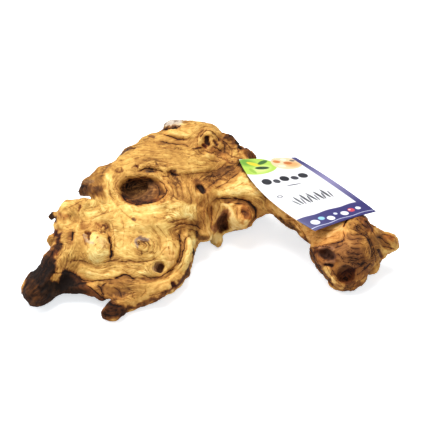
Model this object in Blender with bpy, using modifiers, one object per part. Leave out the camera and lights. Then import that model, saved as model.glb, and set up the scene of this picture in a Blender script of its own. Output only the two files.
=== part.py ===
"""Mopani driftwood: one knotty piece of root wood that lies on its own feet, with a paper label
lying across its right arm. All numbers in this file are millimetres, and meshes are made in metres.

The wood grew as one piece, so it is one solid. Its show side faces the viewer and upwards. Places on
that side are given as they are seen from a fixed eye point, on a drawing that stands square to the
line of sight through AIM, at the wood's real size. Masses are placed by u to the right and v upwards
on it. Relief is placed by column and row of the small squares that it is ruled in.
"""

import math
from collections import namedtuple

import bmesh
import bpy
import numpy as np
from mathutils import Euler, Matrix, Vector, noise
from mathutils.bvhtree import BVHTree

MM = 0.001

# Driving dimensions
EYE_DISTANCE = 1300.0
EYE_ELEVATION = math.radians(35)
AIM = Vector((0, 5, 30))
DRAWING_SQUARE = 0.8
DRAWING_MIDDLE = 216.5
FORM_VOXEL = 1.7
FINAL_VOXEL = 1.5
BLEND_STEPS = 14
WOOD_TRIANGLES = 11400
FOOT_CUT = 1.3
FREE_HEIGHT = 1.5
LABEL_THICKNESS = 0.7
LABEL_REST_GAP = 0.3
LABEL_LIFT = 25.0
LABEL_ACROSS = 11
LABEL_ALONG = 20

BACK_TO_EYE = Vector((0, -math.cos(EYE_ELEVATION), math.sin(EYE_ELEVATION)))
DRAWING_UP = Vector((0, math.sin(EYE_ELEVATION), math.cos(EYE_ELEVATION)))
DRAWING_RIGHT = Vector((1, 0, 0))
EYE = AIM + BACK_TO_EYE * EYE_DISTANCE


def sight(u, v):
    """The direction in which the eye sees the drawing's point (u, v)."""
    return (AIM + DRAWING_RIGHT * u + DRAWING_UP * v - EYE).normalized()


def seen(u, v, height):
    """The point at this height above the ground that is seen at (u, v)."""
    line = sight(u, v)
    return EYE + line * ((height - EYE.z) / line.z)


def at_square(column, row, height):
    """The point at this height above the ground that is seen at this column and row."""
    return seen((column - DRAWING_MIDDLE) * DRAWING_SQUARE, (DRAWING_MIDDLE - row) * DRAWING_SQUARE, height)


# Masses of the wood: rounded lobes and tapering limbs, which are then grown together

Lobe = namedtuple("Lobe", "name u v height half yaw lean tip", defaults=(0, 0, 0))

LOBES = [
    Lobe("heart of the body", -42, 25, 37, (58, 40, 25), 22, 20),
    Lobe("field left of the knot", -84, 22, 38, (22, 20, 12), 10, 22),
    Lobe("upper hump", -13, 60, 56, (28, 18, 14), 2, 20),
    Lobe("bridge below the knot", -46, 4, 32, (40, 30, 16), 4, 26),
    Lobe("bridge corner", -15, -9, 22, (14, 18, 13), 0, 10),
    Lobe("right flank", 6, 14, 26, (32, 32, 24), -20, 18),
    Lobe("right shoulder", 10, 37, 43, (20, 18, 14), -35, 10),
    Lobe("front plate", -75, -24, 26, (54, 40, 14), -6, 24),
    Lobe("plate corner", -114, -3, 33, (16, 18, 12), 0, 20),
    Lobe("plate lower lip", -66, -54, 14, (36, 14, 10), 4, 10),
    Lobe("front nub", -82, -76, 5, (10, 9, 9), 20, 0),
    Lobe("foot web", -111, -53, 9, (24, 16, 9), 6, 0),
    Lobe("arm head", 104, -24, 25, (28, 33, 21), -20, 10),
    Lobe("arm heel", 103, -45, 13, (16, 15, 14), 0, 0),
    Lobe("arm knob root", 127, -23, 22, (13, 14, 11), 10, 0),
    Lobe("arm knob", 137, -20, 24, (11, 10, 8), 30, 0, 15),
    Lobe("arm ledge", 124, -40, 13, (8, 8, 8), 0, 0),
    Lobe("left upper stub", -131, 1, 30, (6, 6, 5)),
    Lobe("left lower stub", -132, -19, 26, (8, 5, 5), 20),
    Lobe("edge knob 1", 10, 62, 50, (5, 5, 5)),
    Lobe("edge knob 2", 18, 55, 48, (6, 5, 5)),
    Lobe("edge knob 3", 28, 48, 46, (6, 5, 4)),
]

# Limb stations: u, v, height and radius
LIMBS = {
    "back ridge": [
        (-94, 23, 36, 12),
        (-68, 40, 43, 15),
        (-48, 51, 49, 16),
        (-28, 59, 53, 17),
        (-8, 58, 52, 16),
        (8, 48, 46, 14),
        (24, 34, 40, 13),
    ],
    "left broken stub": [(-80, 18, 34, 14), (-104, 22, 35, 9)],
    "grey broken stub": [(-24, 62, 58, 9), (-36, 69, 60, 7)],
    "left foot": [(-112, -26, 24, 17), (-129, -42, 17, 15), (-142, -54, 14, 13.5), (-137, -59, 10, 13)],
    "right arm": [
        (20, 20, 34, 20),
        (46, 11, 33, 15),
        (68, 4, 32, 15),
        (92, -12, 27, 20),
    ],
    "cut branch": [(19, 4, 18, 14), (21, -1, 27, 11)],
    "bridge, upper strap": [(-74, 13, 40, 11), (-54, 14, 42, 14), (-30, 13, 42, 14), (-8, 16, 40, 12)],
    "bridge, middle strap": [(-70, 2, 39, 12), (-50, 4, 41, 14), (-32, 3, 39, 14), (-18, 0, 34, 12)],
    "bridge, lower strap": [(-62, -9, 37, 13), (-44, -9, 36, 13), (-29, -8, 32, 11)],
    "cream nub": [(-6, -10, 10, 9), (1, -22, 4, 5)],
    "outer band": [
        (-21, -18, 17, 7),
        (-24, -36, 12, 7),
        (-36, -54, 10, 8),
        (-56, -62, 8, 9),
        (-74, -68, 7, 9),
    ],
}

# The flank behind, which the drawing doesn't show, by its places on the ground: x, y, height, radius
HIDDEN_LIMBS = {
    "back flank": [(-88, 34, 24, 16), (-52, 54, 24, 21), (-8, 62, 23, 22), (26, 50, 24, 18)],
    "back root": [(-6, 64, 14, 15), (12, 84, 8, 9)],
    "left root": [(-74, 44, 17, 15), (-92, 58, 9, 9)],
    "hidden middle": [(-92, -6, 18, 13), (-66, 2, 17, 17), (-34, 12, 18, 18), (-2, 22, 20, 18)],
    "plate bottom": [(-104, -44, 13, 11), (-76, -40, 14, 14), (-42, -36, 14, 13)],
    "arm bottom": [(96, -28, 19, 16), (104, -40, 17, 16)],
}


# Places where the wood stands on the ground: x, y, reach
FEET = [(-134, -70, 13), (-81, -92, 12), (102, -52, 16), (10, 84, 14)]


# Relief on the show side, by columns and rows of the drawing, depths in millimetres along the sight

Hollow = namedtuple("Hollow", "name column row wide high turn depth floor lip", defaults=(0.3, 0))

HOLLOWS = [
    Hollow("saucer round the great knot", 150, 191, 44, 25, 4, 2.5, 0),
    Hollow("great knot hole, sloping end", 142.5, 190.5, 26.5, 16.2, 4, 7.5, 0.62, 0.9),
    Hollow("great knot hole, deep end", 135, 189.5, 17.5, 13, 8, 11, 0.5),
    Hollow("funnel hole", 199.5, 187, 6, 6.5, 0, 9, 0.15, 0.4),
    Hollow("brown channel", 206, 212, 9, 24, -4, 2.5, 0.2),
    Hollow("valley right of the burl", 226, 172, 9, 22, -52, 4, 0.2),
    Hollow("hollow beside the cut branch", 223.5, 223, 8, 12.5, 16, 13, 0.45),
    Hollow("dimple in the cut end", 243.5, 213.5, 7, 7, 0, 1.8, 0.3),
    Hollow("dip between plate and arm root", 186, 226, 14, 6, -8, 3, 0.2),
    Hollow("oval hole in the plate", 159, 268, 8, 6.5, 0, 6.5, 0.3, 0.4),
    Hollow("small round hole", 173.5, 284.5, 4.2, 4.2, 0, 4.5, 0.3),
    Hollow("pit beside the nose", 88, 235, 5.5, 6.5, 20, 4, 0.3),
    Hollow("pit by the swollen corner", 79, 209, 3.5, 4.2, 0, 3, 0.2),
    Hollow("notch in the plate", 132, 218.5, 6, 3, 20, 2.2, 0.3),
    Hollow("pocket under the ledge, left", 150, 171, 9, 3.5, 0, 2.6, 0.3),
    Hollow("pocket under the ledge, right", 174, 173.5, 6, 4, 20, 3, 0.3),
    Hollow("small hole by the ledge", 137, 166.5, 3.6, 3, 0, 2.5, 0.2),
    Hollow("burl pit, upper", 206, 141, 4.8, 5.5, 10, 4.5, 0.2),
    Hollow("burl pit, lower", 203, 148, 4.5, 4, 0, 3, 0.2),
    Hollow("upper hole of the arm", 327, 254.5, 9, 7.5, 25, 6.5, 0.35, 0.5),
    Hollow("slit of the arm", 329.5, 265, 6.5, 4, 10, 4, 0.3),
    Hollow("round hole of the arm", 345.5, 273, 10.5, 9, 0, 7, 0.35, 0.7),
    Hollow("dip before the arm knob", 371, 243, 7, 16, -10, 2.5, 0.2),
    Hollow("brown face under the rim", 112, 289, 26, 12, 6, 3, 0.2),
    Hollow("shadow beside the left foot", 64, 284, 15, 9, 0, 3, 0.4),
    Hollow("flank above the left foot", 62, 250, 10, 20, 40, 2, 0.2),
    Hollow("small groove by the corner", 71, 236, 3.5, 7, 10, 2.5, 0.2),
]

# Swellings, with the same columns as the hollows: their depth becomes a height along the surface normal
SWELLINGS = [
    Hollow("nose of the plate", 97, 248, 17, 19, 0, 5.5, 0.35),
    Hollow("eye knot mound", 143, 246, 22, 18, 0, 2.4, 0.2),
    Hollow("eye knot button", 143.5, 245.5, 4.5, 4, 0, 1.2, 0.2),
    Hollow("lobe right of the eye knot", 170, 252, 13, 15, 10, 2, 0.3),
    Hollow("swollen corner, upper", 67, 213, 11, 9, 0, 3, 0.3),
    Hollow("swollen corner, lower", 66, 224, 9, 8, 0, 2.6, 0.3),
    Hollow("corner button", 76, 226, 6, 6, 0, 1.6, 0.2),
    Hollow("small knot above the nose", 103, 227, 6, 5, 0, 1.8, 0.2),
    Hollow("burl, crown", 212, 133, 12, 7, 0, 2.6, 0.3),
    Hollow("burl, right", 218, 146, 8, 8, 0, 2.2, 0.2),
    Hollow("burl, left", 196, 150, 7, 6, 0, 1.8, 0.2),
    Hollow("burl, low", 208, 157, 10, 6, 10, 2, 0.2),
    Hollow("warts left of the great knot", 119, 171, 6, 5, 0, 1.8, 0.2),
    Hollow("cream wedge", 242, 191, 22, 8, 14, 2.4, 0.3),
    Hollow("roll of the cut branch", 230, 214, 6, 16, 12, 2.6, 0.3),
    Hollow("crown of the arm", 352, 252, 24, 20, 0, 2, 0.3),
    Hollow("lip under the arm holes", 334, 280, 5, 14, 48, 2, 0.3),
    Hollow("shoulder of the arm", 357, 224, 13, 11, 20, 2, 0.3),
]

Groove = namedtuple("Groove", "name path wide deep")

# A groove with a negative depth is a ridge
GROOVES = [
    Groove("behind the nose", [(102, 220), (108, 226), (110, 236), (111, 247), (113, 258)], 3.4, 4.8),
    Groove("under the nose", [(60, 262), (75, 260), (86, 263), (96, 266), (104, 266), (112, 262)], 3, 2),
    Groove("under the eye knot", [(112, 262), (124, 262), (138, 262), (150, 261), (158, 255)], 3, 1.8),
    Groove("rim crack, left", [(78, 276), (90, 280), (104, 280), (118, 277), (127, 274)], 3.4, 2.4),
    Groove("rim crack, middle", [(127, 274), (134, 279), (142, 277), (154, 277), (166, 275)], 3.4, 2.6),
    Groove("rim crack, right", [(166, 275), (176, 268), (182, 257), (183, 245), (180, 234)], 3.6, 3.6),
    Groove("rim crack, top", [(180, 234), (184, 230), (192, 230), (200, 236)], 3.4, 3),
    Groove("rim band", [(192, 236), (190, 252), (184, 270), (170, 287), (150, 299)], 9, -2.8),
    Groove("crease of the plate", [(118, 209), (132, 218), (148, 224), (158, 233), (163, 246)], 3.4, 1.4),
    Groove("fold above the rim", [(166, 222), (180, 221), (194, 220), (204, 226)], 3.4, 1.6),
    Groove("valley line", [(203, 191), (212, 184), (222, 178), (232, 171), (242, 162)], 4, 2.2),
    Groove("over the cut branch", [(214, 199), (224, 201), (236, 199), (248, 202), (256, 211)], 3.6, 3),
    Groove("round the cut end", [(236, 204), (236, 214), (239, 224), (246, 229)], 3, 1.2),
    Groove("channel, left", [(203, 196), (202, 208), (201, 222), (204, 234)], 3, 1.6),
    Groove("channel, right", [(212, 190), (211, 204), (211, 218), (213, 234)], 3, 1.4),
    Groove("crown crack, upper", [(162, 134), (172, 137), (184, 139), (196, 140)], 2.8, 1.8),
    Groove("crown crack, lower", [(158, 140), (172, 143), (188, 146)], 2.8, 1.3),
    Groove("wedge, upper", [(214, 190), (226, 186), (238, 179), (246, 172)], 3, 1.4),
    Groove("left of the knot", [(104, 178), (108, 188), (110, 198)], 4, 1.6),
    Groove("foot, upper", [(58, 248), (50, 262), (40, 276)], 4, 1.6),
    Groove("foot, lower", [(66, 262), (56, 276), (46, 290)], 4, 1.8),
    Groove("arm, left rim", [(312, 250), (320, 247), (332, 246), (341, 241), (344, 230)], 3, 1.2),
    Groove("arm, right fold", [(364, 218), (368, 232), (372, 248), (372, 262)], 3.4, 1.6),
]

Ledge = namedtuple("Ledge", "name path soft high reach low low_reach")

# A ledge's path runs with its high side on the left hand
LEDGES = [
    Ledge("slab over the great knot",
          [(118, 176), (134, 170), (150, 169), (165, 171), (178, 175), (196, 173), (214, 170), (230, 165)],
          2.2, 2.4, 26, 1.2, 10),
    Ledge("plate over its rim",
          [(183, 246), (180, 262), (168, 274), (150, 277), (134, 278), (124, 274), (100, 280), (76, 276)],
          2.4, -1.2, 14, -0.6, 8),
    Ledge("plate over the foot", [(80, 281), (70, 272), (52, 268), (48, 258)], 2.4, 1.6, 14, 1.2, 8),
]


# Pulls that true up the outline, as a sculptor grabs clay. Each takes hold round a column and row with
# a reach in squares, and pulls to the right, away from the viewer and up, in millimetres.
Pull = namedtuple("Pull", "name column row reach right away up")

PULLS = [
    Pull("plate's upper edge, left", 66, 205, 9, -0.6, 1.6, 2.3),
    Pull("plate's upper edge, right", 84, 206, 8, 0, 3.2, 4.6),
    Pull("plate's upper edge, far right", 92, 206, 6, 0, 2.4, 3.4),
    Pull("side between the stubs", 57, 226, 7, -3.2, 0, 0),
    Pull("upper stub's end", 48, 216, 5, 3.0, 0, 0),
    Pull("lower stub's end", 47, 242, 5, 2.8, 0.2, 0.3),
    Pull("left foot forwards", 34, 287, 21, 0.8, -5.6, 0),
    Pull("left foot's far edge", 33, 266, 10, 2.0, -1.5, -2.0),
    Pull("left foot's near edge", 30, 301, 9, -1.5, -3.6, 0),
    Pull("left foot's heel", 52, 300, 7, -1.5, 2.6, 0.4),
    Pull("under the left foot's root", 73, 295, 12, 0, 1.4, 2.0),
    Pull("web between foot and nub", 98, 293, 9, 0, -3.0, -4.2),
    Pull("web beside the nub", 103, 299, 6, 0, -1.6, -2.2),
    Pull("nub's left side", 102, 308, 5, 1.8, 0, 0),
    Pull("plate's lower edge", 129, 310, 8, 0, -1.8, -2.4),
    Pull("rim's right side", 188, 275, 8, 2.2, 0, -1.0),
    Pull("rim's low side", 178, 291, 8, -0.8, 0.5, 0.7),
    Pull("rim's upper side", 194, 263, 6, -1.2, 0, 0),
    Pull("corner beside the rim", 201, 245, 6, -2.4, 1.2, 2.2),
    Pull("body's edge under the cut branch", 238, 233, 6, 0, 0.9, 1.3),
    Pull("cream nub's tip", 219, 244, 5, 0.6, -0.8, 0),
    Pull("corner between body and arm", 271, 219, 8, 0.4, 3.6, 5.2),
    Pull("arm's left side, above", 304, 240, 8, -3.2, -0.4, -0.6),
    Pull("arm's left side, below", 309, 251, 6, -1.2, 0, 0),
    Pull("arm's neck, lower edge", 288, 224, 8, 0, -1.0, -1.2),
    Pull("arm's shoulder", 375, 222, 6, -1.4, -1.0, -1.4),
    Pull("arm's low right side", 367, 278, 6, 2.4, 0, -1.4),
    Pull("arm's front", 345, 289, 13, 0, 2.2, 0),
    Pull("knob's end", 399, 241, 6, -1.9, 0, -0.4),
    Pull("hump's right side", 222, 131, 9, -1.6, -1.6, -2.4),
    Pull("hump's top", 190, 122, 17, 0, 0.7, 1.1),
    Pull("ridge beside the grey stub", 154, 133, 9, 0, -0.9, -1.3),
    Pull("grey stub's left side", 162, 129, 5, 0.9, -0.8, -1.1),
    Pull("ridge left of the grey stub", 142, 138, 7, 0, 0.8, 1.1),
    Pull("edge before the last knob", 240, 146, 4, -0.9, -0.7, -0.9),
    Pull("last knob of the edge", 247, 150, 4, 0.8, 1.0, 1.3),
    Pull("ridge over the left stub", 96, 170, 10, 0, 1.5, 2.2),
    Pull("left broken stub's end", 78, 186, 7, 2.4, 0, 0),
]


def clear_scene():
    for old in list(bpy.data.objects):
        bpy.data.objects.remove(old, do_unlink=True)


def add_ball(bm, centre, half, turn=None, detail=3):
    """A sphere squashed to these half sizes, turned, and placed."""
    turn = turn or Euler((0, 0, 0))
    place = Matrix.Translation(centre) @ turn.to_matrix().to_4x4() @ Matrix.Diagonal((*half, 1))
    bmesh.ops.create_icosphere(bm, subdivisions=detail, radius=1, matrix=place)


def add_limb(bm, points):
    """A chain of balls close together, whose radius changes evenly from one station to the next."""
    for (start, first), (end, last) in zip(points, points[1:]):
        steps = max(2, round((end - start).length / 5))
        for step in range(steps + 1):
            share = step / steps
            radius = first + (last - first) * share
            add_ball(bm, start.lerp(end, share), (radius, radius, radius))


def masses():
    """All lobes and limbs in one mesh, still overlapping."""
    bm = bmesh.new()
    for lobe in LOBES:
        turn = Euler([math.radians(a) for a in (lobe.lean, lobe.tip, lobe.yaw)])
        add_ball(bm, seen(lobe.u, lobe.v, lobe.height), lobe.half, turn, 4)
    for stations in LIMBS.values():
        add_limb(bm, [(seen(u, v, height), radius) for u, v, height, radius in stations])
    for stations in HIDDEN_LIMBS.values():
        add_limb(bm, [(Vector((x, y, height)), radius) for x, y, height, radius in stations])
    bmesh.ops.scale(bm, vec=(MM, MM, MM), verts=bm.verts)
    mesh = bpy.data.meshes.new("masses")
    bm.to_mesh(mesh)
    bm.free()
    return mesh


def add_modifiers(thing, settings):
    """Adds modifiers, each given as (type, {setting: value})."""
    for kind, values in settings:
        modifier = thing.modifiers.new(kind.title(), kind)
        for setting, value in values.items():
            setattr(modifier, setting, value)


def with_modifiers(mesh, name, *settings):
    """A new mesh: the old one as these modifiers leave it."""
    holder = bpy.data.objects.new(name, mesh)
    bpy.context.scene.collection.objects.link(holder)
    add_modifiers(holder, settings)
    bpy.context.view_layer.update()
    graph = bpy.context.evaluated_depsgraph_get()
    made = bpy.data.meshes.new_from_object(holder.evaluated_get(graph))
    bpy.data.objects.remove(holder, do_unlink=True)
    return made


def grown_together(mesh, voxel, smoothing):
    remesh = ("REMESH", {"mode": "VOXEL", "voxel_size": voxel * MM, "adaptivity": 0})
    smooth = ("SMOOTH", {"factor": 0.5, "iterations": smoothing})
    return with_modifiers(mesh, "grown", remesh, smooth)


def points_of(mesh):
    """All vertices in millimetres, one row each."""
    flat = np.empty(len(mesh.vertices) * 3)
    mesh.vertices.foreach_get("co", flat)
    return flat.reshape(-1, 3) / MM


def put_points(mesh, points):
    mesh.vertices.foreach_set("co", (points * MM).ravel())
    mesh.update()


def normals_of(mesh):
    flat = np.empty(len(mesh.vertices) * 3, dtype=np.float32)
    mesh.vertex_normals.foreach_get("vector", flat)
    return flat.reshape(-1, 3).astype(float)


def on_drawing(points):
    """The column and row at which the eye sees each point."""
    offset = points - np.array(EYE)
    depth = offset @ -np.array(BACK_TO_EYE)
    u = offset @ np.array(DRAWING_RIGHT) / depth * EYE_DISTANCE
    v = offset @ np.array(DRAWING_UP) / depth * EYE_DISTANCE
    return DRAWING_MIDDLE + u / DRAWING_SQUARE, DRAWING_MIDDLE - v / DRAWING_SQUARE


def smooth_step(value, low, high):
    share = np.clip((value - low) / (high - low), 0, 1)
    return share * share * (3 - 2 * share)


def on_show_side(mesh, points, normals):
    """1 where the eye sees the surface well, falling to 0 where it is turned away or hidden."""
    eye = np.array(EYE)
    to_eye = eye - points
    reach = np.linalg.norm(to_eye, axis=1)
    facing = smooth_step((normals * to_eye).sum(axis=1) / reach, 0.02, 0.3)
    corners = [tuple(p) for p in points]
    faces = [tuple(polygon.vertices) for polygon in mesh.polygons]
    tree = BVHTree.FromPolygons(corners, faces)
    clear = np.ones(len(points))
    for index in np.nonzero(facing > 0)[0]:
        line = Vector(-to_eye[index]).normalized()
        hit = tree.ray_cast(EYE, line)
        if hit[0] is not None and hit[3] < reach[index] - 4:
            clear[index] = 0
    return facing * clear


def oval(column, row, place):
    """Distance from an oval's middle, where 1 is its edge."""
    turn = math.radians(place.turn)
    across = (column - place.column) * math.cos(turn) + (row - place.row) * math.sin(turn)
    along = (row - place.row) * math.cos(turn) - (column - place.column) * math.sin(turn)
    return np.hypot(across / place.wide, along / place.high)


def bowl(column, row, place):
    """The depth of a hollow, with a flat floor, sloping walls and a slight lip."""
    radius = oval(column, row, place)
    lip = place.lip * np.exp(-(((radius - 1.1) / 0.14) ** 2))
    return place.depth * (1 - smooth_step(radius, place.floor, 1)) - lip


def curved(path, rounds=2):
    """A path with its corners cut off evenly."""
    points = [np.array(p, dtype=float) for p in path]
    for _ in range(rounds):
        cut = [points[0]]
        for start, end in zip(points, points[1:]):
            cut.append(start * 0.75 + end * 0.25)
            cut.append(start * 0.25 + end * 0.75)
        cut.append(points[-1])
        points = cut
    return points


def beside(column, row, path):
    """For each place: its distance from the path, its side of it, and how far along it lies (0 to 1)."""
    points = curved(path)
    lengths = [np.linalg.norm(end - start) for start, end in zip(points, points[1:])]
    total = sum(lengths)
    nearest = np.full(len(column), 1e9)
    side = np.zeros(len(column))
    share = np.zeros(len(column))
    before = 0.0
    for start, end, length in zip(points, points[1:], lengths):
        if length == 0:
            continue
        way = (end - start) / length
        across, down = column - start[0], row - start[1]
        along = np.clip(across * way[0] + down * way[1], 0, length)
        distance = np.hypot(across - along * way[0], down - along * way[1])
        closer = distance < nearest
        nearest = np.where(closer, distance, nearest)
        side = np.where(closer, np.sign(across * way[1] - down * way[0]), side)
        share = np.where(closer, (before + along) / total, share)
        before += length
    return nearest, side, share


def cut_line(column, row, groove):
    """The depth of a groove that fades at both of its ends."""
    distance, _, share = beside(column, row, groove.path)
    fade = smooth_step(share, 0, 0.12) * smooth_step(1 - share, 0, 0.12)
    return groove.deep * (0.25 + 0.75 * fade) * np.exp(-((distance / (groove.wide * 0.5)) ** 2))


def raised_side(column, row, ledge):
    """The height of a ledge: its left side is raised and its right side sunk, both fading away."""
    distance, side, share = beside(column, row, ledge.path)
    fade = smooth_step(share, 0, 0.15) * smooth_step(1 - share, 0, 0.15)
    signed = distance * side
    up = smooth_step(signed, -ledge.soft, ledge.soft)
    high = ledge.high * up * np.exp(-np.clip(signed, 0, None) / ledge.reach)
    low = ledge.low * (1 - up) * np.exp(-np.clip(-signed, 0, None) / ledge.low_reach)
    return (high - low) * fade


def gnarl(points, size, seed):
    """Lumps about this size, from -1 to 1, drawn out along the wood."""
    shift = Vector((seed * 17.3, seed * 5.1, seed * 9.7))
    values = []
    for x, y, z in points:
        place = Vector((x * 0.6, y, z)) / size + shift
        values.append(noise.fractal(place, 1.0, 2.0, 3, noise_basis="PERLIN_ORIGINAL"))
    return np.array(values)


def folds(points, size, seed):
    """Sharp-bottomed folds about this far apart, from -1 to 0."""
    return np.abs(np.clip(gnarl(points, size, seed), -0.5, 0.5)) * 2 - 1


def carve(mesh):
    """Hollows along the sight first, then swellings, grooves and ledges along the surface normals."""
    points = points_of(mesh)
    normals = normals_of(mesh)
    shown = on_show_side(mesh, points, normals)
    column, row = on_drawing(points)
    sunk = sum(bowl(column, row, place) for place in HOLLOWS) * shown
    away = points - np.array(EYE)
    away /= np.linalg.norm(away, axis=1)[:, None]
    raised = sum(bowl(column, row, place) for place in SWELLINGS)
    raised = raised - sum(cut_line(column, row, groove) for groove in GROOVES)
    raised = raised + sum(raised_side(column, row, ledge) for ledge in LEDGES)
    hidden = 1 - shown
    raised = raised * shown + gnarl(points, 26, 1) * (0.9 + 2.2 * hidden)
    raised = raised + folds(points, 17, 2) * (0.35 + 1.9 * hidden)
    raised = raised + gnarl(points, 8, 3) * (0.5 + 0.5 * hidden)
    put_points(mesh, points + away * sunk[:, None] + normals * raised[:, None])


def pull_outline(mesh):
    """Moves the form softly round each grabbed place."""
    points = points_of(mesh)
    column, row = on_drawing(points)
    moved = np.zeros_like(points)
    for grab in PULLS:
        away = np.hypot(column - grab.column, row - grab.row) / grab.reach
        moved += np.exp(-(away**2))[:, None] * np.array((grab.right, grab.away, grab.up))
    put_points(mesh, points + moved)


def settle_feet(mesh):
    """Brings each foot's end to the ground, and keeps all the rest clear of the ground."""
    points = points_of(mesh)
    low = 1 - smooth_step(points[:, 2], 4, 26)
    near_foot = np.zeros(len(points))
    for x, y, reach in FEET:
        distance = np.hypot(points[:, 0] - x, points[:, 1] - y)
        inside = distance < reach
        if not inside.any():
            raise ValueError(f"no wood over the foot at {x}, {y}")
        share = 1 - smooth_step(distance, reach * 0.5, reach * 1.6)
        drop = -FOOT_CUT - points[inside, 2].min()
        points[:, 2] += drop * share * low
        near_foot = np.maximum(near_foot, 1 - smooth_step(distance, reach * 0.6, reach * 1.2))
    free = FREE_HEIGHT + np.log1p(np.exp(np.clip((points[:, 2] - FREE_HEIGHT) / 1.5, -30, 30))) * 1.5
    lifted = np.where(points[:, 2] < 12, free, points[:, 2])
    points[:, 2] = points[:, 2] * near_foot + lifted * (1 - near_foot)
    put_points(mesh, points)


def cut_by_ground(mesh):
    """Cut everything below the ground away, which leaves exact flat spots to stand on."""
    bm = bmesh.new()
    bm.from_mesh(mesh)
    parts = bm.verts[:] + bm.edges[:] + bm.faces[:]
    bmesh.ops.bisect_plane(bm, geom=parts, plane_co=(0, 0, 0), plane_no=(0, 0, 1), clear_inner=True)
    rim = [edge for edge in bm.edges if edge.is_boundary]
    bmesh.ops.holes_fill(bm, edges=rim, sides=0)
    bmesh.ops.remove_doubles(bm, verts=bm.verts, dist=0.02 * MM)
    bmesh.ops.triangulate(bm, faces=bm.faces)
    bmesh.ops.recalc_face_normals(bm, faces=bm.faces)
    bm.to_mesh(mesh)
    bm.free()


# The label: a thin bent card. Its middle surface runs through three rows of three places on the
# drawing, each with its column, row and height before the card is let down on the wood.
LABEL_NET = [
    [(239, 159.5, 62), (267, 158.5, 56), (295.5, 157.5, 50)],
    [(265.5, 196, 52), (299.5, 188, 51), (333, 180.5, 48)],
    [(315, 231, 46), (346, 220, 47), (376, 211.5, 43)],
]
CARD_MODIFIERS = (
    ("SOLIDIFY", {"thickness": LABEL_THICKNESS * MM, "offset": 0}),
    ("TRIANGULATE", {}),
)


def through_three(first, middle, last, share):
    """The point at this share of the smooth curve through three points."""
    a = 2 * (share - 0.5) * (share - 1)
    b = -4 * share * (share - 1)
    c = 2 * share * (share - 0.5)
    return first * a + middle * b + last * c


def label_sheet(net):
    """The card's middle surface: a flat grid bent so that it runs through the net's nine places."""
    bm = bmesh.new()
    bmesh.ops.create_grid(bm, x_segments=LABEL_ACROSS, y_segments=LABEL_ALONG, size=0.5)
    for vert in bm.verts:
        across, along = vert.co.x + 0.5, 0.5 - vert.co.y
        rows = [through_three(*row, across) for row in net]
        vert.co = through_three(*rows, along) * MM
    mesh = bpy.data.meshes.new("label_card")
    bm.to_mesh(mesh)
    bm.free()
    return mesh


def gap_between(tree, near, sheet):
    """The smallest distance between the card and the wood, negative where the card is in the wood."""
    card = with_modifiers(sheet, "card", *CARD_MODIFIERS)
    corners = [Vector(p) for p in points_of(card)]
    smallest = 1e9
    for corner in corners:
        place, normal, _, distance = tree.find_nearest(corner)
        if (corner - place).dot(normal) < 0:
            distance = -distance
        smallest = min(smallest, distance)
    skin = BVHTree.FromPolygons(corners, [tuple(polygon.vertices) for polygon in card.polygons])
    for point in near:
        distance = skin.find_nearest(point, 5)[3]
        if distance is not None:
            smallest = min(smallest, distance)
    bpy.data.meshes.remove(card)
    return smallest


def moved_net(net, rows, step):
    """The net with these rows moved along their sight lines, away from the eye, so it looks the same."""
    moved = [list(row) for row in net]
    for j in rows:
        moved[j] = [p + (p - EYE).normalized() * step for p in moved[j]]
    return moved


def settled_label(wood):
    """The card let down until it rests, with only the rest gap left: all of it, then its upper end."""
    points = [Vector(p) for p in points_of(wood)]
    tree = BVHTree.FromPolygons(points, [tuple(polygon.vertices) for polygon in wood.polygons])
    net = [[at_square(*place) for place in row] for row in LABEL_NET]
    net = moved_net(net, (0, 1, 2), -LABEL_LIFT)
    flat = [p for row in net for p in row]
    low = Vector([min(p[k] for p in flat) - 30 for k in range(3)])
    high = Vector([max(p[k] for p in flat) + 30 for k in range(3)])
    near = [p for p in points if all(low[k] < p[k] < high[k] for k in range(3))]
    for rows, most in (((0, 1, 2), 90), ((0,), 10), ((0, 1, 2), 10)):
        gone = 0.0
        for step in (4, 2, 1, 0.5, 0.2, 0.1, 0.05, 0.02):
            while gone + step <= most:
                tried = moved_net(net, rows, step)
                if gap_between(tree, near, label_sheet(tried)) < LABEL_REST_GAP:
                    break
                net = tried
                gone += step
    sheet = label_sheet(net)
    print("smallest gap under the label in mm:", round(gap_between(tree, near, sheet), 3))
    return sheet


def material(name, colour, roughness):
    made = bpy.data.materials.new(name)
    made.use_nodes = True
    shader = made.node_tree.nodes["Principled BSDF"]
    shader.inputs["Base Color"].default_value = (*colour, 1)
    shader.inputs["Roughness"].default_value = roughness
    return made


def make_wood():
    form = grown_together(masses(), FORM_VOXEL, BLEND_STEPS)
    carve(form)
    pull_outline(form)
    fine = grown_together(form, FINAL_VOXEL, 2)
    settle_feet(fine)
    count = with_modifiers(fine, "count", ("TRIANGULATE", {}))
    ratio = WOOD_TRIANGLES / len(count.polygons)
    wood = with_modifiers(count, "thinned", ("DECIMATE", {"decimate_type": "COLLAPSE", "ratio": ratio}))
    cut_by_ground(wood)
    return wood


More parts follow.
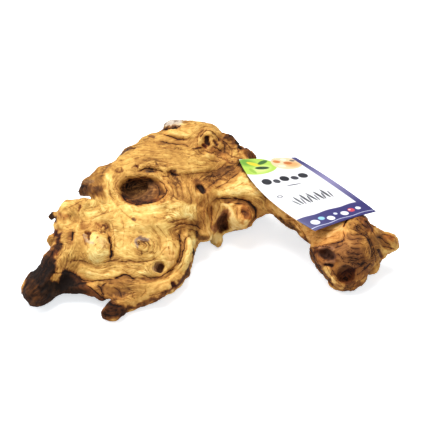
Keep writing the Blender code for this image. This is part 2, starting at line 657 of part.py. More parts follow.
def main():
    """Makes both nodes, with the origin under their middle, and returns how far that moved them."""
    clear_scene()
    wood = make_wood()
    label = settled_label(wood)
    wood.shade_smooth()
    wood.materials.clear()
    wood.materials.append(material("weathered_wood", (0.45, 0.27, 0.11), 0.75))
    label.materials.append(material("white_card", (0.86, 0.86, 0.88), 0.5))
    every = np.vstack([points_of(wood), points_of(label)])
    low, high = every.min(axis=0), every.max(axis=0)
    shift = -np.array([(low[0] + high[0]) / 2, (low[1] + high[1]) / 2, low[2]])
    group = bpy.data.collections.new("Mopani driftwood")
    bpy.context.scene.collection.children.link(group)
    for name, mesh, settings in (("mopani_wood", wood, ()), ("label_card", label, CARD_MODIFIERS)):
        put_points(mesh, points_of(mesh) + shift)
        thing = bpy.data.objects.new(name, mesh)
        add_modifiers(thing, settings)
        group.objects.link(thing)
    print("moved to the origin by, in mm:", [round(k, 3) for k in shift])
    return Vector(shift)


SHIFT_FOR_VIEW = main()
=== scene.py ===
# %% [markdown]
# # Dressing a piece of mopani driftwood for the studio
# Mopani is a hard, heavy root wood. Sand and wind strip it until only knots, cracks and flowing grain
# are left, cream where it is bare and nearly black where old bark and soil still cling. This lesson
# starts from the plain solid of one such root with a paper label lying on its right arm. It gives the
# wood a fine skin with real cracks and rings, paints it from named places, and prints the label.

import math
from collections import namedtuple

import bmesh
import bpy
import numpy as np
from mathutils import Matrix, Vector, noise
from mathutils.bvhtree import BVHTree


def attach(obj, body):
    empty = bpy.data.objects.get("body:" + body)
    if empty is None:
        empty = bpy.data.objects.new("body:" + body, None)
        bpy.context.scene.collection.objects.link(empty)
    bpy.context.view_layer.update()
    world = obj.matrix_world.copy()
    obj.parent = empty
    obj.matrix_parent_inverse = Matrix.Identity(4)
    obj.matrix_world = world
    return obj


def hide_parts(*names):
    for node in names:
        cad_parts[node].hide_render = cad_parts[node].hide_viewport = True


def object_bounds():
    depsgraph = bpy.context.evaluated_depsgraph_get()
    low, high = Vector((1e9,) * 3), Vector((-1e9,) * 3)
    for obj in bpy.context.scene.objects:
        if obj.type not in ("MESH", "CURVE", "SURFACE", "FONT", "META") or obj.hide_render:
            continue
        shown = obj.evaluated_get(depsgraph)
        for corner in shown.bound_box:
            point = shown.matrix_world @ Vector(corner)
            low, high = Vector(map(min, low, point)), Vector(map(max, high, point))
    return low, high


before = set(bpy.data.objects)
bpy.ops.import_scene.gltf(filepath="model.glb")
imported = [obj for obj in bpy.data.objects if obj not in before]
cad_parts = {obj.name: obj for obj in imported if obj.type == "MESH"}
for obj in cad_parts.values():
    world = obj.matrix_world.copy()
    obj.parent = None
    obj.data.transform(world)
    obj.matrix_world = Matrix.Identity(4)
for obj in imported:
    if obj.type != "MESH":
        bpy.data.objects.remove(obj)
solid_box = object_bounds()
MM = 0.001
print("solids:", sorted(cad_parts), "box in mm:", [[round(c / MM, 1) for c in p] for p in solid_box])

# %% [markdown]
# ## One eye for the camera and for the carver
# A root has no straight edges to measure from, so its marks are placed as an artist would place them:
# on a drawing, by column and row, as seen from one fixed eye. The drawing is ruled in squares of 0.8 mm
# and stands square to the line of sight. The camera stands at the same eye, so a mark drawn at a place
# shows at that place. From every other side the mark is still a real dent or a real stain on the wood.

# %% The eye and its drawing
MOVED = Vector((3.117, -0.913, 0.0))
EYE_DISTANCE = 1300.0
EYE_ELEVATION = math.radians(35)
AIM = Vector((0, 5, 30)) + MOVED
BACK_TO_EYE = Vector((0, -math.cos(EYE_ELEVATION), math.sin(EYE_ELEVATION)))
DRAWING_UP = Vector((0, math.sin(EYE_ELEVATION), math.cos(EYE_ELEVATION)))
DRAWING_RIGHT = Vector((1, 0, 0))
EYE = AIM + BACK_TO_EYE * EYE_DISTANCE
SQUARE = 0.8
MIDDLE = 216.5


def on_drawing(points):
    """The column and row at which the eye sees each point."""
    offset = points - np.array(EYE)
    depth = offset @ -np.array(BACK_TO_EYE)
    u = offset @ np.array(DRAWING_RIGHT) / depth * EYE_DISTANCE
    v = offset @ np.array(DRAWING_UP) / depth * EYE_DISTANCE
    return MIDDLE + u / SQUARE, MIDDLE - v / SQUARE


camera = bpy.data.objects.new("camera", bpy.data.cameras.new("camera"))
bpy.context.scene.collection.objects.link(camera)
bpy.context.scene.camera = camera
camera.location = EYE * MM
camera.rotation_mode = "QUATERNION"
camera.rotation_quaternion = (AIM - EYE).to_track_quat("-Z", "Y")
camera.data.sensor_width = 36
camera.data.lens = 36 * EYE_DISTANCE / (433 * SQUARE)
camera.data.clip_end = 20
print("camera at", [round(c, 3) for c in camera.location], "lens", round(camera.data.lens, 1))

# %% [markdown]
# ## A skin fine enough to carve
# The solid has about eleven thousand flat triangles, some 4 mm wide. Sanded wood has no flats, so its
# faces are first rounded with a subdivision surface. A voxel remesh then lays an even net of quads
# about 1 mm wide all over it. An even net matters, because a crack has to come out the same everywhere.
# The quads are just wide enough to keep it under 200,000 triangles.

# %% Fine copy of the wood
SKIN = 1.08


def with_modifiers(mesh, *settings):
    """A new mesh: the old one as these modifiers leave it, each given as (type, {setting: value})."""
    holder = bpy.data.objects.new("holder", mesh)
    bpy.context.scene.collection.objects.link(holder)
    for kind, values in settings:
        modifier = holder.modifiers.new(kind.title(), kind)
        for setting, value in values.items():
            setattr(modifier, setting, value)
    bpy.context.view_layer.update()
    made = bpy.data.meshes.new_from_object(holder.evaluated_get(bpy.context.evaluated_depsgraph_get()))
    bpy.data.objects.remove(holder, do_unlink=True)
    return made


def welded(mesh):
    """A copy whose corners that share one place are one vertex."""
    bm = bmesh.new()
    bm.from_mesh(mesh)
    bmesh.ops.remove_doubles(bm, verts=bm.verts, dist=0.01 * MM)
    copy = bpy.data.meshes.new("welded")
    bm.to_mesh(copy)
    bm.free()
    return copy


skin = with_modifiers(
    welded(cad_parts["mopani_wood"].data),
    ("SUBSURF", {"levels": 1, "render_levels": 1}),
    ("REMESH", {"mode": "VOXEL", "voxel_size": SKIN * MM}),
    ("SMOOTH", {"factor": 0.5, "iterations": 4}),
)
triangles = sum(len(p.vertices) - 2 for p in skin.polygons)
print("wood skin:", len(skin.vertices), "vertices,", triangles, "triangles")

# %% [markdown]
# ## Numbers for every vertex
# Carving and painting both work on plain arrays, one row for each vertex of the skin. Besides its
# place and normal, each vertex knows its column and row on the drawing, and how well the eye sees it.
# Marks on the drawing act only where that last number is high, so they never print through to the back.
# Paint uses a wider version of it that wraps round the edges, so that no outline gets a pale rim.

# %% Vertex arrays
def points_of(mesh):
    flat = np.empty(len(mesh.vertices) * 3)
    mesh.vertices.foreach_get("co", flat)
    return flat.reshape(-1, 3) / MM


def put_points(mesh, points):
    mesh.vertices.foreach_set("co", (points * MM).ravel())
    mesh.update()


def normals_of(mesh):
    flat = np.empty(len(mesh.vertices) * 3, dtype=np.float32)
    mesh.vertex_normals.foreach_get("vector", flat)
    return flat.reshape(-1, 3).astype(float)


def smooth_step(value, low, high):
    share = np.clip((value - low) / (high - low), 0, 1)
    return share * share * (3 - 2 * share)


def edges_of(mesh):
    flat = np.empty(len(mesh.edges) * 2, dtype=np.int64)
    mesh.edges.foreach_get("vertices", flat)
    return flat.reshape(-1, 2)


def neighbour_average(values, edges, rounds):
    """Values averaged again and again with those next to them."""
    count = np.bincount(edges.ravel(), minlength=len(values))
    for _ in range(rounds):
        total = np.zeros_like(values)
        for axis in range(values.shape[1]):
            total[:, axis] += np.bincount(edges[:, 0], values[edges[:, 1], axis], len(values))
            total[:, axis] += np.bincount(edges[:, 1], values[edges[:, 0], axis], len(values))
        values = 0.4 * values + 0.6 * total / count[:, None]
    return values


def grown_back(points, edges, solid):
    """Points moved out to where the solid is, by a soft average so that its flat faces don't return."""
    corners = [tuple(p) for p in points_of(solid)]
    tree = BVHTree.FromPolygons(corners, [tuple(f.vertices) for f in solid.polygons])
    lost = np.array([tree.find_nearest(Vector(p))[0] for p in points]) - points
    return points + neighbour_average(lost, edges, 6)


def seen_by_eye(mesh, points, normals):
    """How well the eye sees each vertex, and a wider mask that wraps a little round the edges."""
    to_eye = np.array(EYE) - points
    reach = np.linalg.norm(to_eye, axis=1)
    facing = (normals * to_eye).sum(axis=1) / reach
    tree = BVHTree.FromPolygons([tuple(p) for p in points], [tuple(f.vertices) for f in mesh.polygons])
    behind = np.zeros(len(points))
    for index in np.nonzero(facing > -0.8)[0]:
        hit = tree.ray_cast(EYE, Vector(-to_eye[index]).normalized())
        if hit[0] is not None:
            behind[index] = max(0.0, reach[index] - hit[3])
    seen = smooth_step(facing, 0.0, 0.22) * (behind < 3)
    wrapped = smooth_step(facing, -0.8, -0.3) * (1 - smooth_step(behind, 10, 18))
    return seen, wrapped


edge_list = edges_of(skin)
place = points_of(skin)
for _ in range(2):
    place = grown_back(place, edge_list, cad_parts["mopani_wood"].data)
put_points(skin, place)
normal = normals_of(skin)
shown, painted = seen_by_eye(skin, place, normal)
column, row = on_drawing(place)
print("share of the skin that the eye sees:", round(float((shown > 0.5).mean()), 2))

# %% [markdown]
# ## Nothing on a root is straight
# Every edge of a stain and every crack wanders a little. The wander comes from smooth noise in space.
# It moves the drawing's columns and rows before a mark is looked up, which is simpler than drawing
# each mark with a shaky hand, and gives the same wander to marks that lie side by side.

# %% Wandering columns and rows
def cloud(points, size, seed, octaves=3):
    """Soft noise with lumps about this many millimetres wide, from about -1 to 1."""
    shift = Vector((seed * 17.31, seed * 5.17, seed * 9.71))
    made = [noise.fractal(Vector(p) / size + shift, 1.0, 2.0, octaves) for p in points]
    return np.array(made)


wander_wide = cloud(place, 11, 1), cloud(place, 11, 2)
wander_fine = cloud(place, 3.2, 3, 2), cloud(place, 3.2, 4, 2)
stain_column = column + 3.2 * wander_wide[0] + 1.5 * wander_fine[0]
stain_row = row + 3.2 * wander_wide[1] + 1.5 * wander_fine[1]
crack_column = column + 0.7 * wander_wide[0] + 0.7 * wander_fine[0]
crack_row = row + 0.7 * wander_wide[1] + 0.7 * wander_fine[1]
print("stains wander by up to", round(float(np.abs(stain_column - column).max()), 1), "squares")

# %% [markdown]
# ## Ovals, paths and how far away they are
# Holes, knots and rings are ovals. Cracks, ridges and stains follow paths. Two small functions measure
# every vertex against them at once, which keeps hundreds of marks quick to make.

# %% Measuring against ovals and paths
def oval(columns, rows, middle, wide, high, turn=0):
    """Distance from an oval's middle, where 1 is its edge."""
    angle = math.radians(turn)
    across = (columns - middle[0]) * math.cos(angle) + (rows - middle[1]) * math.sin(angle)
    along = (rows - middle[1]) * math.cos(angle) - (columns - middle[0]) * math.sin(angle)
    return np.hypot(across / wide, along / high)


def curved(path, rounds=2):
    """A path with its corners cut off evenly."""
    points = [np.array(p, dtype=float) for p in path]
    for _ in range(rounds if len(path) > 2 else 0):
        cut = [points[0]]
        for start, end in zip(points, points[1:]):
            cut += [start * 0.75 + end * 0.25, start * 0.25 + end * 0.75]
        points = cut + [points[-1]]
    return points


def beside(columns, rows, path, rounds=2):
    """For each place: distance from the path, how far along it (0 to 1), and on which side (-1 or 1)."""
    points = curved(path, rounds)
    if len(points) == 1:
        distance = np.hypot(columns - points[0][0], rows - points[0][1])
        return distance, np.full(len(columns), 0.5), np.ones(len(columns))
    lengths = [max(np.linalg.norm(end - start), 1e-6) for start, end in zip(points, points[1:])]
    nearest = np.full(len(columns), 1e9)
    share = np.zeros(len(columns))
    side = np.ones(len(columns))
    before = 0.0
    for start, end, length in zip(points, points[1:], lengths):
        way = (end - start) / length
        across, down = columns - start[0], rows - start[1]
        along = np.clip(across * way[0] + down * way[1], 0, length)
        distance = np.hypot(across - along * way[0], down - along * way[1])
        closer = distance < nearest
        nearest = np.where(closer, distance, nearest)
        share = np.where(closer, (before + along) / sum(lengths), share)
        side = np.where(closer, np.sign(way[0] * down - way[1] * across), side)
        before += length
    return nearest, share, side


print("a path of 3 places, once its corners are cut, has", len(curved([(0, 0), (1, 0), (1, 1)])), "places")

# %% [markdown]
# ## The grain as one field
# Grain lines never cross. They run along a branch and flow round a knot like water round a stone. A
# single number at each vertex, whose contour lines are the grain, gives exactly that. Near a knot the
# number grows outwards, so its contours are rings. Along a limb it grows across the limb. Between
# them the numbers are blended, and a little noise makes the contours swirl.

# %% Grain field
Flow = namedtuple("Flow", "name middle wide high turn reach kind weight", defaults=("rings", 1.0))

FLOWS = [
    Flow("great knot", (143, 190.5), 24, 14.5, 4, 2.0, "rings", 2.0),
    Flow("eye knot", (143.5, 245.5), 9, 8, 0, 2.2, "rings", 2.2),
    Flow("nose", (97, 247), 15, 17, 0, 1.2, "rings", 1.6),
    Flow("funnel hole", (199.5, 187), 7, 8, 0, 1.8, "rings", 1.6),
    Flow("burl", (210, 143), 12, 11, 0, 1.3, "rings", 1.6),
    Flow("cut end", (244, 216), 9, 12, 0, 1.3, "rings", 3.0),
    Flow("swirl on the arm", (352, 253), 26, 17, 0, 1.3, "rings", 2.4),
    Flow("round hole of the arm", (345.5, 273), 10, 9, 0, 1.5, "rings", 2.4),
    Flow("upper hole of the arm", (327, 255), 9, 8, 0, 1.4, "rings", 2.0),
    Flow("oval hole", (159, 268), 7, 6, 0, 1.7, "rings", 1.8),
    Flow("button above the nose", (103, 227), 5, 5, 0, 1.5, "rings", 1.8),
    Flow("swollen corner", (67, 217), 12, 12, 0, 1.2, "rings", 1.4),
    Flow("plate", (124, 244), 60, 37, 6, 1.25, "rings", 1.0),
    Flow("upper slab", (160, 150), 78, 30, 0, 1.2, -7, 1.0),
    Flow("below the great knot", (165, 213), 44, 12, 0, 1.2, 3, 0.8),
    Flow("brown channel", (206, 212), 11, 28, 0, 1.1, 88, 1.6),
    Flow("valley", (224, 176), 24, 10, -38, 1.1, -38, 1.6),
    Flow("cream wedge", (242, 191), 28, 10, 8, 1.1, -6, 1.4),
    Flow("arm neck", (290, 216), 34, 15, 40, 1.2, 40, 1.4),
    Flow("arm, yellow side", (322, 232), 20, 14, 20, 1.1, 24, 1.2),
    Flow("arm knob", (386, 243), 16, 12, 10, 1.2, 12, 1.4),
    Flow("left foot", (48, 274), 36, 17, -50, 1.2, -50, 1.6),
]


def grain_field(columns, rows, points):
    """A number in millimetres whose contour lines are the grain."""
    swirl = 2.6 * cloud(points, 17, 5, 2) + 0.9 * cloud(points, 6, 6, 2)
    turned = points[:, 2] * 0.85 + points[:, 1] * 0.5 + swirl * 1.2
    total = turned * (0.02 + 1.5 * (1 - shown))
    weights = 0.02 + 1.5 * (1 - shown)
    for flow in FLOWS:
        away = oval(columns, rows, flow.middle, flow.wide, flow.high, flow.turn)
        weight = flow.weight * np.exp(-((away / flow.reach) ** 4)) * shown
        if flow.kind == "rings":
            own = away * (flow.wide + flow.high) / 2 * SQUARE
        else:
            angle = math.radians(flow.kind)
            down = (rows - flow.middle[1]) * math.cos(angle)
            own = (down - (columns - flow.middle[0]) * math.sin(angle)) * SQUARE
        total += weight * own
        weights += weight
    return total / weights + swirl


def grain_streaks(grain, points, width, length, seed):
    """Noise drawn out along the grain: streaks about this wide and this long, from about -1 to 1."""
    across = grain / width
    return np.array([
        noise.fractal((a, p[0] / length + seed * 7.7, (p[1] + p[2]) / length), 1.0, 2.0, 2)
        for a, p in zip(across, points)
    ])


grain = grain_field(column + 1.6 * wander_wide[0], row + 1.6 * wander_wide[1], place)
streak_wide = grain_streaks(grain, place, 3.4, 26, 1)
streak_fine = grain_streaks(grain, place, 1.5, 14, 2)
print("grain field spans", round(float(np.ptp(grain)), 1), "mm")

# %% [markdown]
# ## Cracks
# The wood dried in the sun and split along its grain, and bark seams stayed open between the lobes.
# Each crack is a named path with a width and a depth. It is both cut into the skin and kept as a
# mask, because dust makes the same crack dark. Fine lines are listed by place, each with its darkness.
# The sides that the drawing doesn't show get long seams, where noise drawn out along the grain is zero.

# %% Cracks
Crack = namedtuple("Crack", "name path wide deep dark")

CRACKS = [
    Crack("behind the nose",
          [(108, 234.5), (110, 239), (111, 246), (111.5, 253), (111, 260)], 1.2, 1.3, 1),
    Crack("over the nose",
          [(90, 231), (96, 230.5), (101, 231.5), (106, 232.5), (109, 237)], 0.9, 0.4, 0.4),
    Crack("under the nose",
          [(68, 262), (78, 260), (85, 261), (91, 264), (96, 268), (103, 268), (110, 264)], 0.9, 0.35, 0.35),
    Crack("under the eye knot",
          [(115, 262), (126, 261), (138, 261.5), (150, 261), (155, 258), (159, 255)], 0.8, 0.35, 0.55),
    Crack("rim crack, left",
          [(76, 274), (82, 279.5), (90, 281.5), (98, 280.5), (108, 279.5), (116, 279)], 0.9, 0.6, 0.7),
    Crack("rim crack, middle",
          [(113, 279.5), (119, 276.5), (126, 274), (130, 276), (133, 279), (137, 279.5)], 1.0, 0.9, 1),
    Crack("rim crack, right",
          [(137, 273.5), (144, 276), (152, 278), (160, 277), (169, 272), (177, 267.5)], 0.9, 0.6, 0.6),
    Crack("rim crack, upper",
          [(177, 267.5), (182, 259), (183.5, 249), (184, 241), (187, 236.5), (193, 234)], 1.0, 0.9, 0.6),
    Crack("inside the rim",
          [(181, 230), (180, 236), (180.5, 246), (180, 258), (176, 266), (169, 270)], 0.9, 0.45, 0.5),
    Crack("brown face, long", [(84, 283), (92, 289), (100, 296), (110, 303), (124, 307)], 1.2, 0.8, 0.8),
    Crack("brown face, short", [(97, 284), (101, 287.5), (102, 291), (104, 296)], 0.9, 0.7, 0.8),
    Crack("crease of the plate",
          [(118, 207), (124, 213), (131, 218.5), (138, 223.5), (148, 227)], 0.8, 0.3, 0.25),
    Crack("below the knot, third",
          [(172, 228), (180, 224), (190, 224.5), (199, 227), (205, 231)], 1.2, 0.7, 0.6),
    Crack("ledge over the knot, left",
          [(135, 172), (140, 170), (148, 168.5), (158, 170.5), (166, 171.5)], 0.9, 0.5, 0.6),
    Crack("ledge over the knot, right",
          [(166, 171.5), (171, 172.5), (176, 175.5), (181, 175)], 0.9, 0.5, 0.6),
    Crack("ledge over the knot, end",
          [(181, 175), (190, 173.5), (201, 173), (212, 172), (222, 168), (227, 161)], 0.8, 0.2, 0.45),
    Crack("crown, first",
          [(162, 133), (167, 135), (173, 137.5), (179, 139), (187, 139.5)], 0.9, 0.45, 0.65),
    # The groove under the weathered stub is cut in, and its dark doubles as painted shadow of the stub
    Crack("under the weathered stub", [(163, 130), (169, 128.8), (176, 128), (182, 125)], 0.9, 0.8, 0.6),
    Crack("crown, second",
          [(158, 140), (166, 142.5), (175, 144), (186, 144.5), (191, 148)], 0.8, 0.35, 0.5),
    Crack("left of the knot", [(106, 177), (109, 186), (110, 197), (117, 205)], 0.8, 0.4, 0.3),
    Crack("valley, main",
          [(204, 191), (211, 184.5), (220, 178.5), (230, 171.5), (238, 165), (242, 158)], 1.0, 0.3, 0.3),
    Crack("wedge, first", [(218, 192), (226, 189), (236, 186.5), (246, 180)], 0.8, 0.4, 0.35),
    Crack("over the cut branch",
          [(214, 198), (226, 198.5), (236, 199), (243, 200), (252, 204), (256, 210), (257, 218)],
          0.9, 0.7, 0.7),
    Crack("channel, second", [(211, 204), (211.5, 215), (212, 231)], 0.9, 0.6, 0.5),
    Crack("left foot, first", [(66, 249), (56, 260), (46, 274), (36, 290)], 1.5, 0.5, 0.25),
    Crack("left foot, second", [(60, 266), (52, 276), (44, 288), (38, 297)], 1.4, 0.5, 0.25),
    Crack("left foot, third", [(56, 249), (46, 262), (34, 280)], 1.3, 0.5, 0.25),
    Crack("left flank", [(72, 231), (72, 236), (71, 241)], 1.2, 0.9, 1),
    Crack("arm, left edge", [(303, 236), (310, 250), (318, 268), (326, 280), (338, 289)], 1.1, 0.5, 0.5),
    Crack("arm, edge of the yellow",
          [(308, 246), (315, 249.5), (322, 245), (332, 243.5), (342, 241.5), (346, 237)], 0.9, 0.5, 0.5),
    Crack("arm, first fold",
          [(352, 219), (357, 228), (361, 233), (368, 240), (372, 250), (372, 262), (376, 268)],
          0.9, 0.4, 0.5),
    Crack("arm, second fold",
          [(361, 231), (369, 238), (374, 247), (374.5, 258), (379, 265)], 0.9, 0.4, 0.45),
    Crack("arm, short crack", [(343, 227), (345, 223), (347.5, 219)], 1.1, 0.8, 1),
    Crack("arm, third fold", [(342, 229), (344, 234), (344, 240), (340, 243)], 0.9, 0.4, 0.5),
    Crack("arm knob, line", [(376, 236), (384, 240), (392, 246)], 0.9, 0.5, 0.45),
    Crack("arm neck, line", [(276, 207), (288, 217), (302, 230), (310, 246)], 0.9, 0.5, 0.4),
    Crack("plate edge over the foot",
          [(49, 272), (57, 273), (66, 272.5), (72, 272), (77, 276)], 1, 0.6, 0.7),
]


def arc(middle, wide, high, start, end, turn=0):
    """Part of an oval as a path, from one angle to another: 0 is right, 90 is down."""
    angles = [math.radians(start + (end - start) * step / 8) for step in range(9)]
    lean = math.radians(turn)
    flat = [(wide * math.cos(a), high * math.sin(a)) for a in angles]
    return [(middle[0] + x * math.cos(lean) - y * math.sin(lean),
             middle[1] + x * math.sin(lean) + y * math.cos(lean)) for x, y in flat]


FINE_LINES = {
    "plate": [
        (0.4, [(66, 210), (75, 204), (84, 201), (100, 200)]),
        (0.35, [(82, 232), (84, 238), (85, 243), (85, 247)]),
        (0.4, [(100, 263), (108, 262), (113, 260), (120, 259)]),
        (0.3, [(111, 220), (114, 230), (115, 242), (114, 256)]),
        (0.2, [(120, 214), (124, 226), (124, 240), (122, 254)]),
        (0.25, [(90, 221), (97, 216), (106, 212), (116, 210)]), (0.2, [(78, 254), (72, 262), (64, 268)]),
        (0.25, [(62, 250), (57, 257), (53, 264), (48, 271)]),
        (0.3, [(120, 266), (132, 268), (142, 270), (152, 272)]),
        (0.2, [(84, 270), (98, 273), (112, 272)]),
        (0.35, [(156, 224), (160, 229), (165, 235), (167, 240)]),
        (0.3, [(150, 226), (157, 233), (160, 241)]), (0.3, [(78, 223), (85, 221.5), (92, 221)]),
        (0.25, [(64, 224), (68, 229), (74, 230)]), (0.3, [(116, 207), (118, 204.5), (123, 204)]),
        (0.2, [(92, 209), (100, 205), (108, 204)]),
    ],
    "eye knot": [
        (0.8, arc((144, 245.5), 5.9, 4.6, 165, 385)), (0.4, arc((144, 245.5), 2.6, 2.3, 170, 430)),
        (0.35, arc((144, 246), 10.5, 9.2, -65, 65)), (0.25, arc((144, 246), 13.5, 12, -60, 50)),
        (0.3, arc((144, 245.5), 8, 6.8, 40, 175)), (0.3, arc((144, 246), 8.6, 8.6, 190, 300)),
        (0.4, [(150, 250), (152, 252.5), (156, 253)]), (0.5, [(142, 250.5), (142.5, 253), (142, 255.5)]),
        (0.25, arc((144, 246), 17, 15, -70, 30)),
    ],
    "lobe beyond the eye knot": [
        (0.35, [(160, 255), (163, 250.5), (168, 246)]),
        (0.3, [(165, 243), (169, 240.5), (174, 243), (178, 250)]), (0.6, [(169, 246.5), (169.3, 249.5)]),
        (0.4, [(169.5, 252), (169.5, 255)]), (0.4, [(173.5, 251.5), (173.5, 255)]),
        (0.3, [(148, 266), (152, 263), (158, 261), (165, 263)]),
        (0.3, [(162, 258), (168, 261), (176, 258)]),
    ],
    "great knot": [
        (0.5, [(125, 183), (134, 177.8), (144, 176.5), (154, 180)]),
        (0.7, [(121, 193), (125, 200.5), (136, 204.5), (148, 203.5), (158, 200)]),
        (0.6, [(157, 180), (164.5, 184.5), (167, 191), (164, 197), (158, 200.5)]),
        (0.35, [(153, 183), (159, 187), (160.5, 193), (156, 199)]),
        (0.35, [(160, 177.5), (169, 182), (174, 190), (173.5, 196), (169, 202)]),
        (0.25, [(176, 179.5), (182, 187), (183.5, 195), (182.5, 202)]),
        (0.3, [(186, 183), (190.5, 192), (192, 201), (190, 205.5), (185, 206.5)]),
        (0.6, [(162, 176.8), (170, 176)]), (0.3, arc((143, 190.5), 29, 18, 150, 215, 4)),
        (0.2, arc((143, 190.5), 33, 21, 140, 200, 4)),
        (0.2, [(166, 180), (176, 183.5), (178.5, 192), (177, 200)]),
        (0.25, arc((143, 190), 26, 15.5, 215, 300, 4)),
    ],
    "below the great knot": [
        (0.4, [(165, 222), (175, 221), (185, 219), (192, 216)]),
        (0.3, [(170, 210.5), (180, 207.5), (186, 207)]), (0.25, [(163, 216), (169, 214), (175, 214)]),
        (0.25, [(126, 207), (140, 208.5), (152, 207), (166, 205)]),
        (0.2, [(150, 217), (160, 219), (170, 218)]), (0.25, [(184, 213), (194, 212), (200, 214)]),
    ],
    "upper slab": [
        (0.25, [(134, 158.5), (139, 158)]), (0.35, [(142, 159.8), (147, 160.8), (151, 160)]),
        (0.2, [(118, 162), (130, 158)]), (0.2, [(156, 160), (164, 163), (174, 164)]),
        (0.2, [(137, 150), (149, 150.5), (158, 152)]), (0.25, [(153, 141), (158, 142)]),
        (0.3, [(131, 170), (133, 166), (139, 165), (142, 168)]),
        (0.2, [(176, 168), (190, 169), (206, 166)]), (0.2, [(170, 152), (186, 153), (199, 157)]),
        (0.3, [(192, 148), (196, 153), (202, 157)]), (0.15, [(140, 145), (160, 147), (180, 149)]),
        (0.35, [(146, 165.5), (154, 167), (160, 167)]), (0.25, [(100, 178), (104, 170), (112, 163)]),
        (0.2, [(178, 129), (184, 132), (190, 134)]),
    ],
    "burl": [
        (0.7, [(200, 140), (202, 134), (207, 130), (213, 131.5), (218, 137)]),
        (0.5, [(209, 135), (214, 133.5), (219, 138), (220, 143)]), (0.7, [(213, 146), (222, 151)]),
        (0.6, [(192, 148.5), (202, 147)]), (0.5, [(222, 139), (228, 146), (236, 151)]),
        (0.4, [(196, 146), (199, 152), (206, 156)]), (0.4, [(208, 151), (214, 155), (222, 156)]),
        (0.35, arc((210, 141), 13, 13, 150, 250)), (0.45, [(204, 150), (210, 153), (218, 152)]),
        (0.4, [(215, 157), (223, 158), (230, 163)]), (0.35, [(208, 159), (215, 162), (222, 160)]),
        (0.5, [(222, 143), (226, 148), (224, 154)]), (0.45, [(229, 147), (233, 152), (231, 159)]),
        (0.4, [(236, 148), (239, 153)]), (0.4, [(226, 152), (234, 157), (244, 159)]),
        (0.35, [(216, 126), (222, 131), (226, 137)]), (0.3, arc((211, 141), 5.5, 4.5, 200, 380)),
    ],
    "valley and wedge": [
        (0.45, [(213, 189), (222, 185.5), (232, 177.5), (240, 169.5)]),
        (0.35, [(223, 194), (232, 196.5), (238, 198)]), (0.4, [(206, 176), (214, 177), (220, 174)]),
        (0.35, [(226, 156), (230, 163), (237, 164)]), (0.3, [(240, 188), (250, 190), (258, 196)]),
        (0.3, [(240, 183), (249, 184), (256, 190)]), (0.3, [(205, 180), (210, 177), (214, 172)]),
    ],
    "channel": [
        (0.4, [(221, 201), (218, 212), (214.5, 221)]),
        (0.35, [(204, 197), (205, 208), (203.5, 220), (206, 231)]),
        (0.3, [(198, 200), (197, 210), (198.5, 222)]), (0.3, [(208, 192), (208, 203), (207.5, 214)]),
        (0.3, [(192, 205), (194, 212), (193, 221)]), (0.35, [(187, 229.5), (194, 230), (200, 234)]),
        (0.3, [(174, 231), (180, 227.5), (187, 227.5)]),
    ],
    "cut branch": [
        (0.45, [(222, 202.5), (236, 203), (244, 204.5)]), (0.6, [(232, 230), (240, 231), (247, 229)]),
        (0.35, [(237.5, 206), (236.5, 214), (237.5, 221)]), (0.45, arc((244, 216), 7.5, 10, -70, 60)),
        (0.4, arc((245, 216), 11, 13, -75, 50)),
    ],
    "arm": [
        (0.4, [(350, 246.5), (353, 249), (357, 248.5), (361, 249.5)]),
        (0.4, [(345, 249), (349, 253), (354, 253), (358, 255), (364, 252)]),
        (0.35, [(342, 254), (346, 258), (352, 257.5), (358, 260), (366, 256)]),
        (0.35, [(339, 260), (345, 263), (352, 262), (359, 265), (367, 262)]),
        (0.4, [(349, 242.5), (354, 244), (359, 242.5), (365, 245.5)]),
        (0.35, [(346, 238), (352, 240), (358, 237.5), (366, 241)]),
        (0.35, [(342, 267), (350, 266.5), (357, 269.5)]), (0.3, [(349, 234), (355, 235), (361, 233)]),
        (0.4, [(347, 227), (355, 230), (363, 234), (371, 243)]),
        (0.4, [(333, 248), (339, 246), (345, 243), (348, 246)]),
        (0.4, [(336, 253), (341, 256), (344, 261)]), (0.4, [(360, 270), (367, 266), (373, 259)]),
        (0.4, [(356, 224), (363, 230), (369, 236)]), (0.5, [(355, 218), (361, 224), (368, 229)]),
        (0.45, [(364, 219), (370, 226), (376, 236)]),
        (0.5, [(325, 263), (329, 271), (336, 281), (344, 288)]),
        (0.4, [(331, 268), (336, 275), (341, 283)]), (0.4, [(356, 276), (362, 272), (368, 266)]),
        (0.4, [(352, 285), (360, 281), (367, 274)]), (0.4, [(314, 256), (318, 262), (322, 270)]),
        (0.35, [(316, 228), (326, 231), (338, 229)]), (0.3, [(313, 237), (325, 238), (338, 235)]),
        (0.45, [(380, 235), (387, 234), (394, 239)]), (0.45, [(382, 246), (389, 247), (396, 250)]),
        (0.35, [(350, 272), (357, 268), (364, 264)]), (0.4, [(284, 214), (294, 220), (303, 229)]),
        (0.35, [(290, 212), (300, 219), (306, 226)]), (0.5, [(317, 246), (325, 246.5), (332, 248)]),
    ],
    "brown face": [
        (0.5, [(101.5, 287), (104, 284.5), (107, 283)]), (0.3, [(118, 281), (126, 285), (134, 284)]),
        (0.3, [(112, 286), (120, 291), (122, 298)]), (0.3, [(128, 288), (134, 292), (132, 299)]),
        (0.35, [(140, 297), (146, 292), (145, 287)]), (0.3, [(137, 283.5), (148, 283), (158, 280.5)]),
        (0.35, [(146, 296.5), (158, 293.5), (170, 290.5), (180, 282)]),
        (0.25, [(108, 284), (114, 282.5)]), (0.3, [(106, 292), (112, 297), (118, 303)]),
        (0.3, [(186, 240), (186, 252), (183, 264), (175, 276)]),
        (0.3, [(104, 308), (110, 312), (118, 310)]), (0.3, [(102, 313), (110, 317), (118, 315)]),
    ],
}
for where, lines in FINE_LINES.items():
    CRACKS += [Crack(where, path, 0.75, 0.1 + 0.4 * dark, dark) for dark, path in lines]


